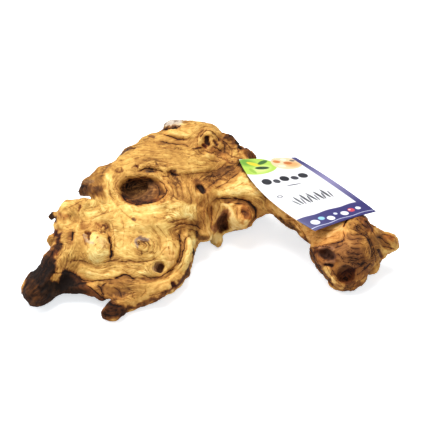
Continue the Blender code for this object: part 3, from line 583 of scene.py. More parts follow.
def crack_layers():
    """Depth of the grooves, their dust, the signed distance from the nearest crack, and its strength."""
    deep = np.zeros(len(place))
    dust = np.zeros(len(place))
    line = np.full(len(place), 4.0)
    strength = np.zeros(len(place))
    for crack in CRACKS:
        ends = np.array(crack.path)
        low_end, high_end = ends.min(axis=0) - 8, ends.max(axis=0) + 8
        near = np.nonzero((crack_column > low_end[0]) & (crack_column < high_end[0])
                          & (crack_row > low_end[1]) & (crack_row < high_end[1]))[0]
        distance, share, side = beside(crack_column[near], crack_row[near], crack.path)
        fade = smooth_step(share, 0, 0.16) * smooth_step(1 - share, 0, 0.16)
        wide = np.maximum(crack.wide, 0.9) * (0.6 + 0.4 * fade) * (1 + 0.25 * wander_fine[0][near])
        groove = np.exp(-((distance / wide) ** 2)) * (0.1 + 0.9 * fade)
        deep[near] = np.maximum(deep[near], crack.deep * groove)
        dusty = np.exp(-((distance / (0.7 + crack.wide)) ** 2)) * fade
        dust[near] = np.maximum(dust[near], crack.dark * dusty)
        closer = distance < np.abs(line[near])
        line[near] = np.where(closer, distance * side, line[near])
        strength[near] = np.where(closer, crack.dark * fade * painted[near], strength[near])
    # Halfway between two cracks the sign flips as well, so only the strip next to a crack keeps its strength
    strength *= 1 - smooth_step(np.abs(line), 1.2, 1.7)
    return deep * shown, dust * painted, line, strength


def add_back_seams(deep, dust, line, strength):
    """On the sides that the drawing doesn't show, long seams follow the grain, and come and go."""
    seam_line = 7 * grain_streaks(grain, place, 7.5, 60, 8)
    amount = (1 - shown) * smooth_step(cloud(place, 15, 9, 2), -0.15, 0.2)
    strip = 1 - smooth_step(np.abs(seam_line), 1.2, 1.7)
    groove = amount * np.exp(-((seam_line / 0.9) ** 2))
    on_back = shown < 0.5
    return (np.maximum(deep, 0.9 * groove), np.maximum(dust, 0.7 * groove),
            np.where(on_back, seam_line, line), np.where(on_back, 0.75 * amount * strip, strength))


crack_deep, crack_dust, crack_line, crack_strength = add_back_seams(*crack_layers())
print(len(CRACKS), "cracks, the deepest", round(float(crack_deep.max()), 1), "mm")

# %% [markdown]
# ## Rings, pits and warts
# A knot is the end of a branch that the trunk grew round, so it shows as rings that stand a little
# proud of each other. Burls are knots that never became branches: crowds of warts with pits between
# them. Rings are waves of an oval's distance, pits and bumps are named places, and warts are small domes
# placed by a seeded draw. Dents are bumps that go down, for the places where the solid stands too full.

# %% Rings, pits and warts
# Each knot's rings stand out most towards one side of the drawing: 0 is right, 90 is down
Rings = namedtuple("Rings", "name middle wide high turn first last count deep side evenness")

RINGS = [
    Rings("great knot", (142.5, 190.5), 24, 14.5, 4, 1.02, 1.8, 4, 0.18, 25, 0.25),
    Rings("eye knot", (143.5, 245.5), 9.5, 8.5, 0, 0.12, 1.25, 3, 0.7, 60, 0.7),
    Rings("cut end", (246, 216.5), 10, 12, 0, 0.6, 1.1, 2, 0.35, 0, 0.3),
    Rings("swirl on the arm", (354, 249), 18, 14, 0, 0.3, 1.4, 4, 0.08, 90, 0.4),
    Rings("button above the nose", (103, 227), 4.5, 4, 0, 0.2, 1.2, 2, 0.5, 0, 1),
]

# A pit is the space within this distance of a path, with the tone, red and grey of its floor
Pit = namedtuple("Pit", "name path wide deep tone red grey", defaults=(0.15, 0.3, 0.0))

PITS = [
    Pit("oval hole, pale side", [(155.5, 268.5), (159, 266)], 4.4, 0.2, 0.52, 0.1, 0.4),
    Pit("oval hole, dark side", [(159.5, 270), (161, 266.5)], 3.4, 0.9, 0.20, 0.4, 0.2),
    Pit("small hole", [(173, 283.5), (174, 286)], 2.3, 1.2, 0.12, 1.0),
    Pit("funnel hole, brown side", [(196.5, 181), (199, 186)], 3.6, 0.3, 0.36, 0.25),
    Pit("funnel hole", [(199.5, 186.5), (201.5, 189), (204, 191)], 3.0, 1.5, 0.06, 0.2),
    Pit("pit beside the nose, top", [(86.5, 232), (90, 232.5)], 1.7, 0.8, 0.22, 0.6),
    Pit("pit beside the nose, tail", [(88.5, 233), (88.5, 239)], 1.3, 1.0, 0.18, 0.5),
    Pit("mark over the nose", [(96, 223), (99, 225)], 1.2, 0.3, 0.36, 0.4),
    Pit("button, dark side", [(101.5, 227), (103, 224), (106.5, 227), (105.5, 230)], 1.0, 0.4, 0.28, 0.4),
    Pit("pit by the corner", [(80.5, 206), (79, 209), (79.5, 211.5)], 1.3, 0.6, 0.26, 0.5),
    Pit("pocket, left", [(147, 171.5), (150, 171), (153, 171.5)], 1.4, 0.5, 0.34, 0.0, 0.5),
    Pit("pocket, right", [(171, 171), (176, 171)], 1.0, 0.4, 0.40, 0.0, 0.4),
    Pit("pocket, right, lower", [(172, 174), (176, 174.5)], 1.2, 0.4, 0.36, 0.6, 0.6),
    Pit("small hole by the ledge", [(136, 166), (137.5, 167)], 1.3, 0.6, 0.22, 0.9),
    Pit("ring left of the knot", [(116, 171), (118, 173), (122, 171.5), (121, 168)], 1.1, 0.5, 0.34, 0.3),
    Pit("edge mark", [(149, 136), (154, 137)], 1.6, 0.4, 0.36, 0.2, 0.2),
    Pit("edge mark, lower", [(130, 148.5), (134, 148)], 1.2, 0.4, 0.34, 0.2),
    Pit("edge of the slab", [(120.5, 154), (124, 150.5), (129, 148.5)], 1.6, 0.3, 0.30, 0.2, 0.4),
    Pit("burl pit, upper", [(206.5, 138), (206, 143), (208, 144)], 2.3, 1.2, 0.06, 0.4),
    Pit("burl pit, right", [(214, 141.5), (217, 144.5)], 1.8, 0.8, 0.16, 0.4),
    Pit("burl pit, lower", [(203.5, 145), (205, 146.5)], 1.9, 0.7, 0.20, 1.0),
    Pit("knob pit, first", [(229, 137.5)], 1.6, 0.7, 0.08, 0.3),
    Pit("knob pit, second", [(234.5, 143), (236, 145.5)], 1.3, 0.7, 0.08, 0.3),
    Pit("knob pit, third", [(247, 151.5)], 1.3, 0.7, 0.10, 0.4),
    Pit("knob pit, fourth", [(251.5, 155.5)], 1.2, 0.6, 0.12, 0.5),
    Pit("burl mark", [(196, 147.5), (200, 148)], 1.0, 0.4, 0.28, 0.5),
    Pit("notch of the plate", [(132, 218.5), (135, 219.5)], 1.2, 0.5, 0.30, 0.2, 0.3),
    # Painted shadow: the dark under the weathered stub's overhang, with a small dent
    Pit("stub, painted shadow under its overhang", [(164.5, 129.5), (167, 128.5)], 1.3, 0.7, 0.16, 0.2),
    Pit("upper hole of the arm", [(321, 252.5), (327, 252.5), (332, 256.5)], 4.6, 0.5, 0.27, 0.5, 0.5),
    Pit("upper hole, deep spot", [(328, 255.5), (332, 257)], 1.8, 0.9, 0.10, 0.5),
    Pit("upper hole, dark tail", [(314, 253), (319, 250.5), (324, 252)], 2.0, 0.6, 0.18, 0.6),
    Pit("slit of the arm", [(325, 264), (332, 265.5)], 1.4, 1.0, 0.05, 0.5, 0.1),
    Pit("round hole of the arm, wide", [(342, 276), (352, 273), (349, 281), (343, 280)], 4.8, 0.6, 0.27, 0.7),
    Pit("round hole of the arm, deep", [(344, 273), (348, 271), (354, 271)], 2.7, 0.9, 0.18, 0.9),
    Pit("speck on the nose, first", [(97.5, 237)], 1.1, 0.4, 0.34, 0.3),
    Pit("speck on the nose, second", [(95.5, 244.5)], 1.1, 0.4, 0.38, 0.3),
    Pit("heart of the eye knot", [(144, 245)], 1.9, 0.4, 0.50, 0.1),
    Pit("knob, dark corner", [(379, 251), (382, 257)], 2.0, 0.4, 0.18, 0.3),
    Pit("edge of the rim, dark", [(193, 250), (194, 255)], 1.6, 0.0, 0.22, 0.2, 0.3),
]

# A bump is a soft dome along a path, this wide and this tall in millimetres
Bump = namedtuple("Bump", "name path wide tall")

BUMPS = [
    Bump("weathered stub", [(166, 126), (172, 123.5), (179, 122)], 4.0, 2.2),
    Bump("edge knob, first", [(227, 137), (230, 138)], 3.2, 1.9),
    Bump("edge knob, second", [(233, 142), (236, 146)], 3.0, 2.2),
    Bump("dip between the knobs", [(240, 147.5), (242, 149.5)], 1.8, -2.4),
    Bump("heart of the cut end", [(243, 211), (245, 215)], 3.6, -1.3),
    Bump("top edge of the plate", [(85, 203.5), (91, 203), (97, 202.5)], 4.2, 2.4),
    Bump("dent behind the knobs", [(222, 135)], 2.6, -1.2),
    Bump("dent under the cut branch", [(250, 228), (257, 224)], 4.0, -2.2),
    Bump("edge knob, third", [(243, 151), (248, 153)], 3.2, 2.4),
    Bump("shoulder tip", [(256, 158)], 2.6, 1.2),
    Bump("rim roll", [(192, 238), (189, 252), (184, 266), (175, 277), (160, 287), (147, 294)], 4.6, 1.1),
    Bump("roll of the cut branch", [(229, 206), (231, 216), (233, 228)], 3.2, 0.9),
    Bump("nose", [(100, 248), (99, 254)], 8, 0.8),
    Bump("edge behind the nose", [(114, 230), (115, 244), (114, 256)], 2.6, 0.6),
    Bump("lower lip of the plate", [(92, 273), (112, 271), (130, 267), (150, 270)], 4.5, 0.7),
    Bump("ridge under the arm's holes", [(324, 263), (329, 272), (336, 281), (344, 288)], 3.0, 1.0),
    Bump("ridge over the arm's hole", [(316, 248), (324, 247), (332, 248)], 2.0, 0.7),
    Bump("fold of the arm", [(356, 222), (365, 233), (370, 244), (370, 258)], 3.4, 0.8),
    Bump("ridge round the great knot", [(130, 175), (144, 173.5), (156, 175.5)], 2.4, 0.8),
    Bump("cream nub", [(213, 240), (222, 239)], 3.5, 0.7),
    Bump("swollen corner", [(68, 225)], 6, 0.8),
    Bump("knob over the left stub", [(118, 169)], 3.2, 0.8),
    Bump("knob by the ledge", [(137, 166.5)], 3.4, 0.6),
    Bump("crown fold", [(166, 131), (178, 134.5), (192, 136)], 3, 0.7),
]

Warts = namedtuple("Warts", "name middle wide high count size tall seed")

WARTS = [
    Warts("burl", (209, 146), 13, 12, 34, 2.0, 0.8, 3),
    Warts("burl, towards the shoulder", (226, 152), 11, 7, 16, 2.2, 0.8, 4),
    Warts("edge knobs", (231, 141), 8, 6, 18, 1.5, 1.0, 6),
    Warts("edge knobs, third", (248, 153), 7, 4, 10, 1.5, 0.9, 16),
    Warts("swollen corner", (68, 219), 9, 11, 10, 2.4, 0.6, 7),
    Warts("end of the left foot", (34, 296), 12, 9, 16, 2.6, 0.8, 8),
    Warts("end of the left stub", (86, 190), 9, 8, 10, 2.2, 0.8, 9),
    Warts("front nub", (112, 313), 9, 6, 9, 2.4, 0.7, 10),
    Warts("arm knob", (390, 243), 9, 8, 10, 2.4, 0.7, 11),
    Warts("left shoulder", (104, 172), 9, 5, 8, 2.2, 0.6, 12),
]


def ring_relief():
    """Waves between the first and last ring of each knot, fading at both ends."""
    relief = np.zeros(len(place))
    for rings in RINGS:
        away = oval(crack_column, crack_row, rings.middle, rings.wide, rings.high, rings.turn)
        away = away + 0.07 * wander_wide[0]
        phase = (away - rings.first) / (rings.last - rings.first)
        fade = smooth_step(phase, -0.02, 0.1) * (1 - smooth_step(phase, 0.6, 1.05))
        angle = np.arctan2(row - rings.middle[1], column - rings.middle[0]) - math.radians(rings.side)
        fade *= rings.evenness + (1 - rings.evenness) * smooth_step(np.cos(angle), -0.3, 0.8)
        relief += rings.deep * np.cos(phase * rings.count * 2 * math.pi + 1.6 * wander_fine[1]) * fade
    return relief * shown


def pit_relief():
    """Depth of all pits and how far each vertex lies inside each one."""
    deep = np.zeros(len(place))
    masks = []
    for pit in PITS:
        columns, rows = crack_column + 0.5 * wander_fine[1], crack_row + 0.5 * wander_fine[0]
        distance, _, _ = beside(columns, rows, pit.path)
        bowl = (1 - smooth_step(distance / pit.wide, 0.45, 1.15)) * shown
        masks.append(bowl)
        deep = np.maximum(deep, bowl * pit.deep)
    return deep, masks


def bump_relief():
    """Height of all bumps. Dents are bumps with a height below zero."""
    relief = np.zeros(len(place))
    for bump in BUMPS:
        distance, _, _ = beside(crack_column, crack_row, bump.path)
        still_to_rise = bump.tall - np.clip(relief, 0, max(bump.tall, 0))
        relief += still_to_rise * np.exp(-((distance / bump.wide) ** 2))
    return relief * painted


def wart_relief():
    """Small domes scattered over each crowd's oval."""
    relief = np.zeros(len(place))
    for crowd in WARTS:
        draw = np.random.default_rng(crowd.seed)
        for _ in range(crowd.count):
            angle, out = draw.uniform(0, 2 * math.pi), math.sqrt(draw.uniform(0, 1))
            middle = (crowd.middle[0] + crowd.wide * out * math.cos(angle),
                      crowd.middle[1] + crowd.high * out * math.sin(angle))
            size = crowd.size * draw.uniform(0.6, 1.3)
            dome = np.exp(-(oval(column, row, middle, size, size * 0.85) ** 2))
            relief = np.maximum(relief, dome * crowd.tall * draw.uniform(0.5, 1))
    return relief * shown


rings_relief = ring_relief()
pits_deep, pit_masks = pit_relief()
bumps_relief = bump_relief()
warts_relief = wart_relief()
print("rings", len(RINGS), "pits", len(PITS), "bumps", len(BUMPS), "warts", sum(w.count for w in WARTS))

# %% [markdown]
# ## Carving the skin
# All relief is added along the surface normals: grain ridges first, then rings and warts, and cracks
# and pits last, because they are the youngest marks. Sanded fields stay calm, folds that the solid shows
# too sharply are softened, and broken ends are rough. The hidden sides have no drawing. They get the same
# grain, with the long seams and a few pores, as stripped wood has on every side.

# %% Carve the wood
# Each place is an oval: its middle, its width and its height from the middle
CALM_PLACES = [((160, 152), 50, 16), ((98, 252), 14, 12), ((130, 245), 46, 30), ((165, 210), 46, 11),
               ((325, 231), 18, 11)]
SOFT_PLACES = [((118, 203), 14, 8), ((224, 174), 20, 12)]
ROUGH_PLACES = [((84, 190), 13, 10), ((34, 292), 18, 14), ((51, 216), 6, 7), ((53, 240), 8, 9),
                ((112, 312), 12, 9), ((166, 127), 7, 6), ((240, 148), 16, 9), ((375, 262), 7, 12)]


def within(ovals, inner, outer):
    """1 inside any of the ovals, fading to 0 from inner to outer, where 1 is an oval's edge."""
    mask = np.zeros(len(place))
    for middle, wide, high in ovals:
        mask = np.maximum(mask, 1 - smooth_step(oval(column, row, middle, wide, high), inner, outer))
    return mask


hidden = 1 - shown
pores = smooth_step(cloud(place, 2.6, 9, 2), 0.34, 0.6)
swells = cloud(place, 9, 12, 3)
calm = within(CALM_PLACES, 0.7, 1.2)
soft = within(SOFT_PLACES, 0.5, 1.2)
rough_ends = within(ROUGH_PLACES, 0.6, 1.15)
relief = (0.36 - 0.2 * calm * shown) * streak_wide + 0.18 * streak_fine
relief += (0.5 - 0.25 * calm * shown) * swells
relief += rings_relief + bumps_relief + warts_relief - crack_deep - pits_deep
relief += hidden * (0.3 * streak_wide + 0.5 * swells)
relief -= pores * (0.1 + 0.2 * hidden)
relief += rough_ends * painted * (1.1 * cloud(place, 4.2, 13, 3) - 0.5 * np.abs(cloud(place, 3.1, 14, 2)))
clear_of_ground = smooth_step(place[:, 2], 0.4, 3.0)
soft_average = neighbour_average(place, edge_list, 60)
carved = place + (soft_average - place) * (soft * shown)[:, None]
carved += normal * (relief * clear_of_ground)[:, None]
low, high = np.array(solid_box[0]) / MM, np.array(solid_box[1]) / MM
carved = np.clip(carved, low + 0.02, high - 0.02)
carved[:, 2] = np.where(place[:, 2] < 0.35, 0.02, carved[:, 2])
put_points(skin, carved)
print("relief from", round(float(relief.min()), 1), "to", round(float(relief.max()), 1), "mm")

# %% [markdown]
# ## Dust and painted shade in the low places
# Sandblasting cleans the ridges and leaves dust and old bark in the hollows. The hollows are also given
# painted shade, so depth and darkness go together. Comparing each vertex with the average of its
# neighbourhood tells the two apart: vertices below the average lie in a hollow.

# %% Hollows and ridges
near_average = neighbour_average(carved, edge_list, 6)
far_average = neighbour_average(near_average, edge_list, 40)
hollow_fine = ((near_average - carved) * normal).sum(axis=1)
hollow_wide = ((far_average - near_average) * normal).sum(axis=1)
deepest = [round(float(hollows.max()), 2) for hollows in (hollow_fine, hollow_wide)]
print("fine hollows up to", deepest[0], "mm, wide ones", deepest[1])

# %% [markdown]
# ## Painting by named places
# The colour of stripped mopani runs through one scale: near black, brown, tan, and pale cream. One
# number called tone says where on that scale a vertex lies. Each stain is a named path with a width
# and a tone, laid on in order like washes of paint, and its edges wander with the noise from above.
# Two more numbers say how red and how grey the wood is there. Just round the edge of what the eye sees,
# the wood keeps the tone of that edge. Further back, soft clouds of tone take over.

# %% Stains
Stain = namedtuple("Stain", "name path wide tone strength red grey hard", defaults=(0.0, 0.0, 0.35))

STAINS = [
    Stain("upper slab", [(108, 170), (140, 152), (175, 140), (205, 142)], 34, 0.59, 0.9),
    Stain("upper slab, left end", [(92, 184), (104, 172)], 13, 0.54, 0.7),
    Stain("crown", [(172, 132), (200, 126), (214, 130)], 8, 0.72, 0.8, 0.12),
    Stain("left stub, upper side", [(86, 179), (102, 177)], 6, 0.42, 0.9),
    Stain("left stub", [(80, 191), (100, 193)], 9, 0.12, 0.97, 0.15),
    Stain("left stub, grey top", [(82, 183), (92, 181)], 3, 0.40, 0.7, 0, 0.4),
    Stain("edge bits, lower", [(96, 170)], 4, 0.35, 0.7),
    Stain("field left of the knot", [(108, 180), (112, 198)], 8, 0.86, 0.85),
    Stain("field right of the knot", [(176, 184), (190, 200)], 12, 0.51, 0.85, 0.05),
    Stain("pale streak by the funnel", [(184, 180), (188, 196)], 3.6, 0.68, 0.6, 0.15),
    Stain("below the knot", [(126, 210), (150, 209), (192, 212)], 9, 0.92, 0.85),
    Stain("burl", [(203, 138), (212, 150)], 12, 0.76, 0.75, 0.2),
    Stain("burl, crown light", [(207, 133), (216, 137)], 4, 0.76, 0.6),
    Stain("right shoulder", [(222, 150), (236, 160)], 11, 0.54, 0.75, 0.15),
    Stain("burl, lower folds", [(212, 149), (222, 154), (228, 160)], 3.2, 0.44, 0.7, 0.35),
    Stain("burl, right folds", [(221, 139), (225, 145)], 2.6, 0.44, 0.7, 0.35),
    Stain("shoulder, light fold", [(230, 150), (238, 156)], 2.2, 0.74, 0.7),
    Stain("edge knobs", [(226, 136), (231, 139)], 3.8, 0.12, 0.92, 0.3),
    Stain("edge knobs, second", [(234, 143), (239, 149)], 4.0, 0.16, 0.92, 0.3),
    Stain("edge knobs, third", [(244, 151), (253, 157)], 3.8, 0.24, 0.92, 0.4),
    Stain("valley", [(208, 184), (220, 177), (236, 167)], 8.5, 0.46, 0.85, 0.15),
    Stain("halo of the funnel hole", [(198, 183), (201, 191)], 7, 0.40, 0.75, 0.2),
    Stain("channel", [(202, 198), (207, 212), (208, 230)], 11, 0.68, 0.9, 0.25),
    Stain("channel, pale left", [(194, 206), (196, 216)], 4, 0.74, 0.6),
    Stain("fold band", [(172, 228), (186, 225), (200, 226)], 4.5, 0.54, 0.7, 0.25),
    Stain("channel foot", [(196, 234), (206, 237)], 4, 0.16, 0.85),
    Stain("cream wedge", [(222, 192), (234, 187), (243, 178), (249, 184), (254, 194)], 4.2, 0.87, 0.92),
    Stain("cream wedge, middle", [(230, 193), (246, 190)], 5, 0.88, 0.92),
    Stain("wedge, right side", [(250, 184), (260, 197)], 5.5, 0.90, 0.85, 0.15),
    Stain("brown left of the wedge", [(208, 191), (213, 195), (215, 200)], 5, 0.40, 0.88, 0.2),
    # Painted shadow: the label's shadow falling on the wood beside it
    Stain("painted shadow of the label", [(241, 163), (246, 169), (252, 177)], 4.0, 0.15, 0.9, 0.1),
    Stain("wedge, lower side", [(224, 196), (258, 200)], 2.6, 0.66, 0.7),
    Stain("arm root", [(262, 200), (272, 207)], 9, 0.54, 0.8),
    Stain("cut end", [(243, 206), (244, 224)], 7.5, 0.68, 0.9, 0.3),
    Stain("top of the cut branch", [(231, 202), (242, 203.5), (251, 206)], 2.2, 0.50, 0.8, 0.15),
    Stain("roll of the cut branch", [(224, 205), (229, 207), (231.5, 217), (234.5, 227), (243, 230)], 3.6, 0.92, 0.97, 0.2),
    Stain("cut end, golden face", [(239, 207), (237.5, 216), (239, 223)], 2.6, 0.72, 0.9, 0.3),
    Stain("cut end, orange band", [(242, 207), (241, 216), (243, 223)], 2.8, 0.54, 0.9, 0.45),
    Stain("cut end, heart", [(243, 209), (247, 212), (246, 217)], 4.6, 0.30, 0.92, 0.5),
    Stain("cut end, light foot", [(246, 221), (245, 225)], 3.0, 0.80, 0.8, 0.1),
    Stain("cut end, right rim", [(249, 204), (254, 210), (255, 219), (250, 227)], 3.4, 0.36, 0.9, 0.15),
    Stain("hollow beside the cut branch", [(225, 214), (222, 222), (217, 230)], 4.6, 0.48, 0.95, 0.45, 0.2, 0.6),
    Stain("hollow, right foot", [(224, 222), (227, 229)], 3.2, 0.42, 0.95, 0.5, 0.1, 0.6),
    Stain("cream nub", [(213, 240), (222, 238)], 5.5, 1.0, 0.97, 0.15),
    Stain("plate", [(96, 214), (130, 216), (164, 244), (150, 262), (98, 262)], 26, 0.77, 0.92),
    Stain("below the knot again", [(140, 208), (188, 211)], 8, 0.92, 0.8),
    Stain("crease, upper side", [(136, 217), (150, 222)], 4, 0.66, 0.7, 0.15),
    Stain("swollen corner", [(62, 208), (68, 228)], 12, 0.60, 0.85),
    Stain("swollen corner, top", [(64, 205), (74, 203)], 3.5, 0.80, 0.8),
    Stain("swollen corner, light", [(67, 226)], 5.5, 0.76, 0.85, 0.1),
    Stain("swollen corner, red", [(60, 216), (65, 217)], 3, 0.44, 0.7, 0.5),
    Stain("brown above the nose", [(84, 226), (98, 225), (106, 227)], 4.6, 0.56, 0.8, 0.2),
    Stain("left flank", [(70, 236), (66, 250), (70, 262)], 11, 0.60, 0.9),
    Stain("left flank, yellow", [(62, 258), (72, 256), (82, 252)], 6.5, 0.72, 0.8),
    Stain("left flank, groove", [(68, 234), (70, 243)], 3.4, 0.44, 0.7, 0.2),
    Stain("nose", [(97, 240), (98, 254)], 11, 0.90, 0.9),
    Stain("nose, bright foot", [(92, 254), (102, 258)], 5, 0.99, 0.8),
    Stain("nose, mottled top", [(98, 238), (106, 246)], 4, 0.82, 0.6, 0.3, 0.2),
    Stain("lilac beside the nose", [(85.5, 235), (87, 242), (92, 242)], 1.8, 0.72, 0.75, 0.2, 0.7),
    Stain("plate, lower lip", [(88, 273), (118, 270), (150, 270)], 5, 0.82, 0.8, 0.1),
    Stain("upper left stub", [(51, 214), (53, 219)], 4.6, 0.05, 0.97),
    Stain("lower left stub", [(57, 231), (58, 240)], 4.0, 0.12, 0.95, 0.7),
    Stain("lower left stub, tip", [(49, 240), (53, 237)], 3.4, 0.56, 0.95),
    Stain("dark beside the stub", [(60, 243), (54, 252), (44, 264)], 4.5, 0.14, 0.9, 0.3),
    Stain("left foot, upper edge", [(57, 251), (51, 260), (45, 268)], 3.6, 0.30, 0.85, 0.6),
    Stain("left foot", [(44, 266), (40, 276), (33, 292), (36, 302), (50, 300)], 13, 0.07, 0.98, 0.2, 0, 0.75),
    # Painted shade: the dark under the plate's left edge, down to the table
    Stain("painted shade under the plate", [(50, 290), (62, 292), (80, 294), (68, 281)], 10, 0.02, 0.98, 0, 0, 0.7),
    Stain("brown face", [(104, 288), (130, 284), (112, 296)], 12, 0.46, 0.9, 0.1),
    Stain("brown face, right", [(124, 284), (146, 286)], 6, 0.54, 0.7),
    Stain("brown face, foot", [(124, 298), (142, 292)], 6, 0.56, 0.7, 0.2),
    # Painted shade along the lower edge of the brown face, over its own brown
    Stain("brown face, painted shade on the lower edge", [(75, 278), (84, 289), (96, 298), (110, 305), (122, 309)], 5.5, 0.14, 0.94, 0.4),
    Stain("yellow triangle", [(96, 283), (101, 284)], 3.4, 0.72, 0.8),
    Stain("front nub", [(104, 314), (120, 311)], 9, 0.10, 0.97, 0.4),
    Stain("rim band", [(193, 237), (189, 256), (183, 270)], 5.5, 0.80, 0.97),
    Stain("rim band, lower", [(180, 276), (165, 286), (146, 293)], 6.5, 0.68, 0.95, 0.15),
    Stain("rim, band under the lip", [(141, 280), (152, 281), (164, 277)], 2.0, 0.42, 0.8, 0.2),
    Stain("rim, outer edge", [(193, 252), (191, 264), (186, 276), (176, 287)], 1.8, 0.24, 0.85, 0.2),
    Stain("rim, underside", [(189, 271), (177, 286), (161, 296), (145, 303), (128, 309)], 2.6, 0.2, 0.85, 0.3),
    Stain("eye knot's field", [(143, 247)], 12, 0.64, 0.85),
    Stain("eye knot, lower left", [(138, 252)], 5, 0.60, 0.7),
    Stain("between nose and eye knot", [(121, 232), (122, 252)], 6, 0.80, 0.7),
    Stain("lobe beyond the eye knot", [(168, 250), (171, 260)], 7, 0.78, 0.7, 0.35),
    Stain("dark left of the rim", [(180, 232), (180, 240)], 2.6, 0.34, 0.85, 0.2),
    Stain("brown right of the plate", [(174, 228), (176, 240)], 4, 0.56, 0.7, 0.2),
    Stain("round the oval hole", [(158, 268)], 8, 0.74, 0.7),
    Stain("grey arc of the eye knot", [(137, 246), (138, 240), (143, 237), (149, 239)], 2.2, 0.60, 0.9, 0.2, 0.8),
    Stain("inside the eye knot", [(144, 245.5)], 4.2, 0.76, 0.85),
    Stain("arm neck", [(274, 208), (290, 220), (304, 233)], 10, 0.66, 0.9, 0.3),
    Stain("arm neck, light", [(280, 209), (292, 219), (304, 229)], 5.0, 0.86, 0.88, 0.3),
    Stain("arm neck, underside", [(276, 216), (288, 226), (300, 233)], 2.6, 0.20, 0.9),
    Stain("arm, brown head", [(324, 256), (350, 252), (362, 264), (344, 276)], 18, 0.37, 0.95, 0.3, 0.1),
    Stain("arm, right side", [(352, 218), (364, 232), (371, 256)], 10, 0.44, 0.9, 0.15),
    Stain("arm, dark red top", [(362, 218), (370, 228)], 6, 0.32, 0.85, 0.5),
    Stain("arm, left edge", [(304, 238), (311, 256), (321, 271), (332, 284)], 2.8, 0.24, 0.85, 0.2),
    Stain("arm, yellow side", [(316, 234), (326, 230), (339, 228)], 10, 0.83, 0.97, 0.45, 0, 0.75),
    Stain("arm, yellow side, foot", [(314, 243), (324, 241), (340, 236)], 5, 0.70, 0.9, 0.45, 0, 0.6),
    Stain("arm, round the upper holes", [(318, 252), (332, 262)], 6.5, 0.28, 0.85, 0.4),
    Stain("arm, light swirl", [(348, 223), (352, 230)], 4.5, 0.54, 0.8, 0.1),
    Stain("arm, under the holes", [(326, 267), (331, 275), (341, 286)], 3.2, 0.86, 0.94, 0.2),
    Stain("arm, brown right of the ridge", [(335, 266), (340, 280)], 4.5, 0.38, 0.85, 0.3),
    Stain("arm, low right", [(347, 290), (356, 287), (366, 279)], 6, 0.34, 0.88, 0.2),
    Stain("arm, top of the swirl", [(349, 238), (357, 241)], 6.5, 0.33, 0.8, 0.3, 0.1),
    Stain("arm, lower right face", [(361, 261), (364, 271), (355, 283)], 7, 0.35, 0.9, 0.3),
    Stain("arm, tan streak", [(358, 281), (366, 277)], 2, 0.62, 0.7),
    Stain("arm, lilac ridge", [(317, 248), (324, 247), (332, 248.5)], 1.8, 0.50, 0.8, 0.4, 0.4),
    # Painted highlight: a lilac sheen on the lip above the slit
    Stain("arm, painted highlight over the slit", [(325, 261), (333, 262.5)], 1.5, 0.46, 0.7, 0.4, 0.4),
    Stain("arm knob", [(379, 237), (391, 243)], 9, 0.38, 0.9, 0.15),
    Stain("arm knob, red top", [(384, 236), (393, 238)], 2.6, 0.42, 0.8, 0.6),
    Stain("arm knob, tan side", [(392, 244), (397, 249)], 3.6, 0.66, 0.85),
    Stain("arm knob, underside", [(383, 251), (392, 252)], 3, 0.64, 0.85),
    Stain("arm knob, dark neck", [(376, 240), (379, 260)], 4.0, 0.36, 0.8),
    Stain("round the round hole", [(338, 280), (352, 282)], 3.4, 0.36, 0.7, 0.4),
    Stain("weathered stub", [(167, 124), (178, 122)], 5.5, 0.84, 0.97, 0, 0.95),
    Stain("weathered stub, dark spots", [(166, 126), (169, 123)], 1.2, 0.50, 0.7, 0, 0.8),
    Stain("weathered stub, dark spot", [(174, 124.5), (177, 123.5)], 1.1, 0.44, 0.8, 0, 0.8),
    Stain("weathered stub, white top", [(171, 120.5), (176, 120)], 1.4, 0.95, 0.8, 0, 0.95),
    # Painted shadow along the foot of the weathered stub
    Stain("weathered stub, painted shadow at its foot", [(164, 130), (169, 128.5), (176, 128)], 1.4, 0.24, 0.85, 0.1, 0.2),
]


def lay_on(layer, target, mask):
    return layer + (target - layer) * mask


under = 1 - smooth_step(normal[:, 2], -0.5, 0.3)
tone = 0.62 + 0.24 * cloud(place, 26, 21, 3) + 0.10 * grain_streaks(grain, place, 9, 70, 5)
tone = tone - 0.20 * under
tone = lay_on(tone, 0.66, painted)
red = 0.12 + 0.12 * cloud(place, 15, 22, 2)
grey = np.clip(0.5 * cloud(place, 19, 23, 2), 0, 1) * (1 - painted)
for stain in STAINS:
    distance, _, _ = beside(stain_column, stain_row, stain.path)
    mask = stain.strength * (1 - smooth_step(distance / stain.wide, stain.hard, 1.12)) * painted
    tone = lay_on(tone, stain.tone, mask)
    red = lay_on(red, stain.red, mask)
    grey = lay_on(grey, stain.grey, mask)
# The painted side's tone, red and grey are spread over the skin, and used just past its edge
shares = np.stack([painted, tone * painted, red * painted, grey * painted], axis=1)
spread = neighbour_average(shares, edge_list, 90)
carried = smooth_step(spread[:, 0], 0.04, 0.3) * (1 - painted)
tone, red, grey = [lay_on(layer, spread[:, k] / np.maximum(spread[:, 0], 1e-6), carried)
                   for k, layer in ((1, tone), (2, red), (3, grey))]
print(len(STAINS), "stains, tone from", round(float(tone.min()), 2), "to", round(float(tone.max()), 2))

# %% [markdown]
# ## The great knot hole
# The largest mark is a branch hole as wide as a thumb. Its left end is deep and holds old bark. Its
# right end slopes up to a rim of orange rings. It is painted by its own oval distance, because rings
# of colour have to follow the rings of the wood exactly. Its upper part lies in deep shade, so the paint
# there is a little paler than below.

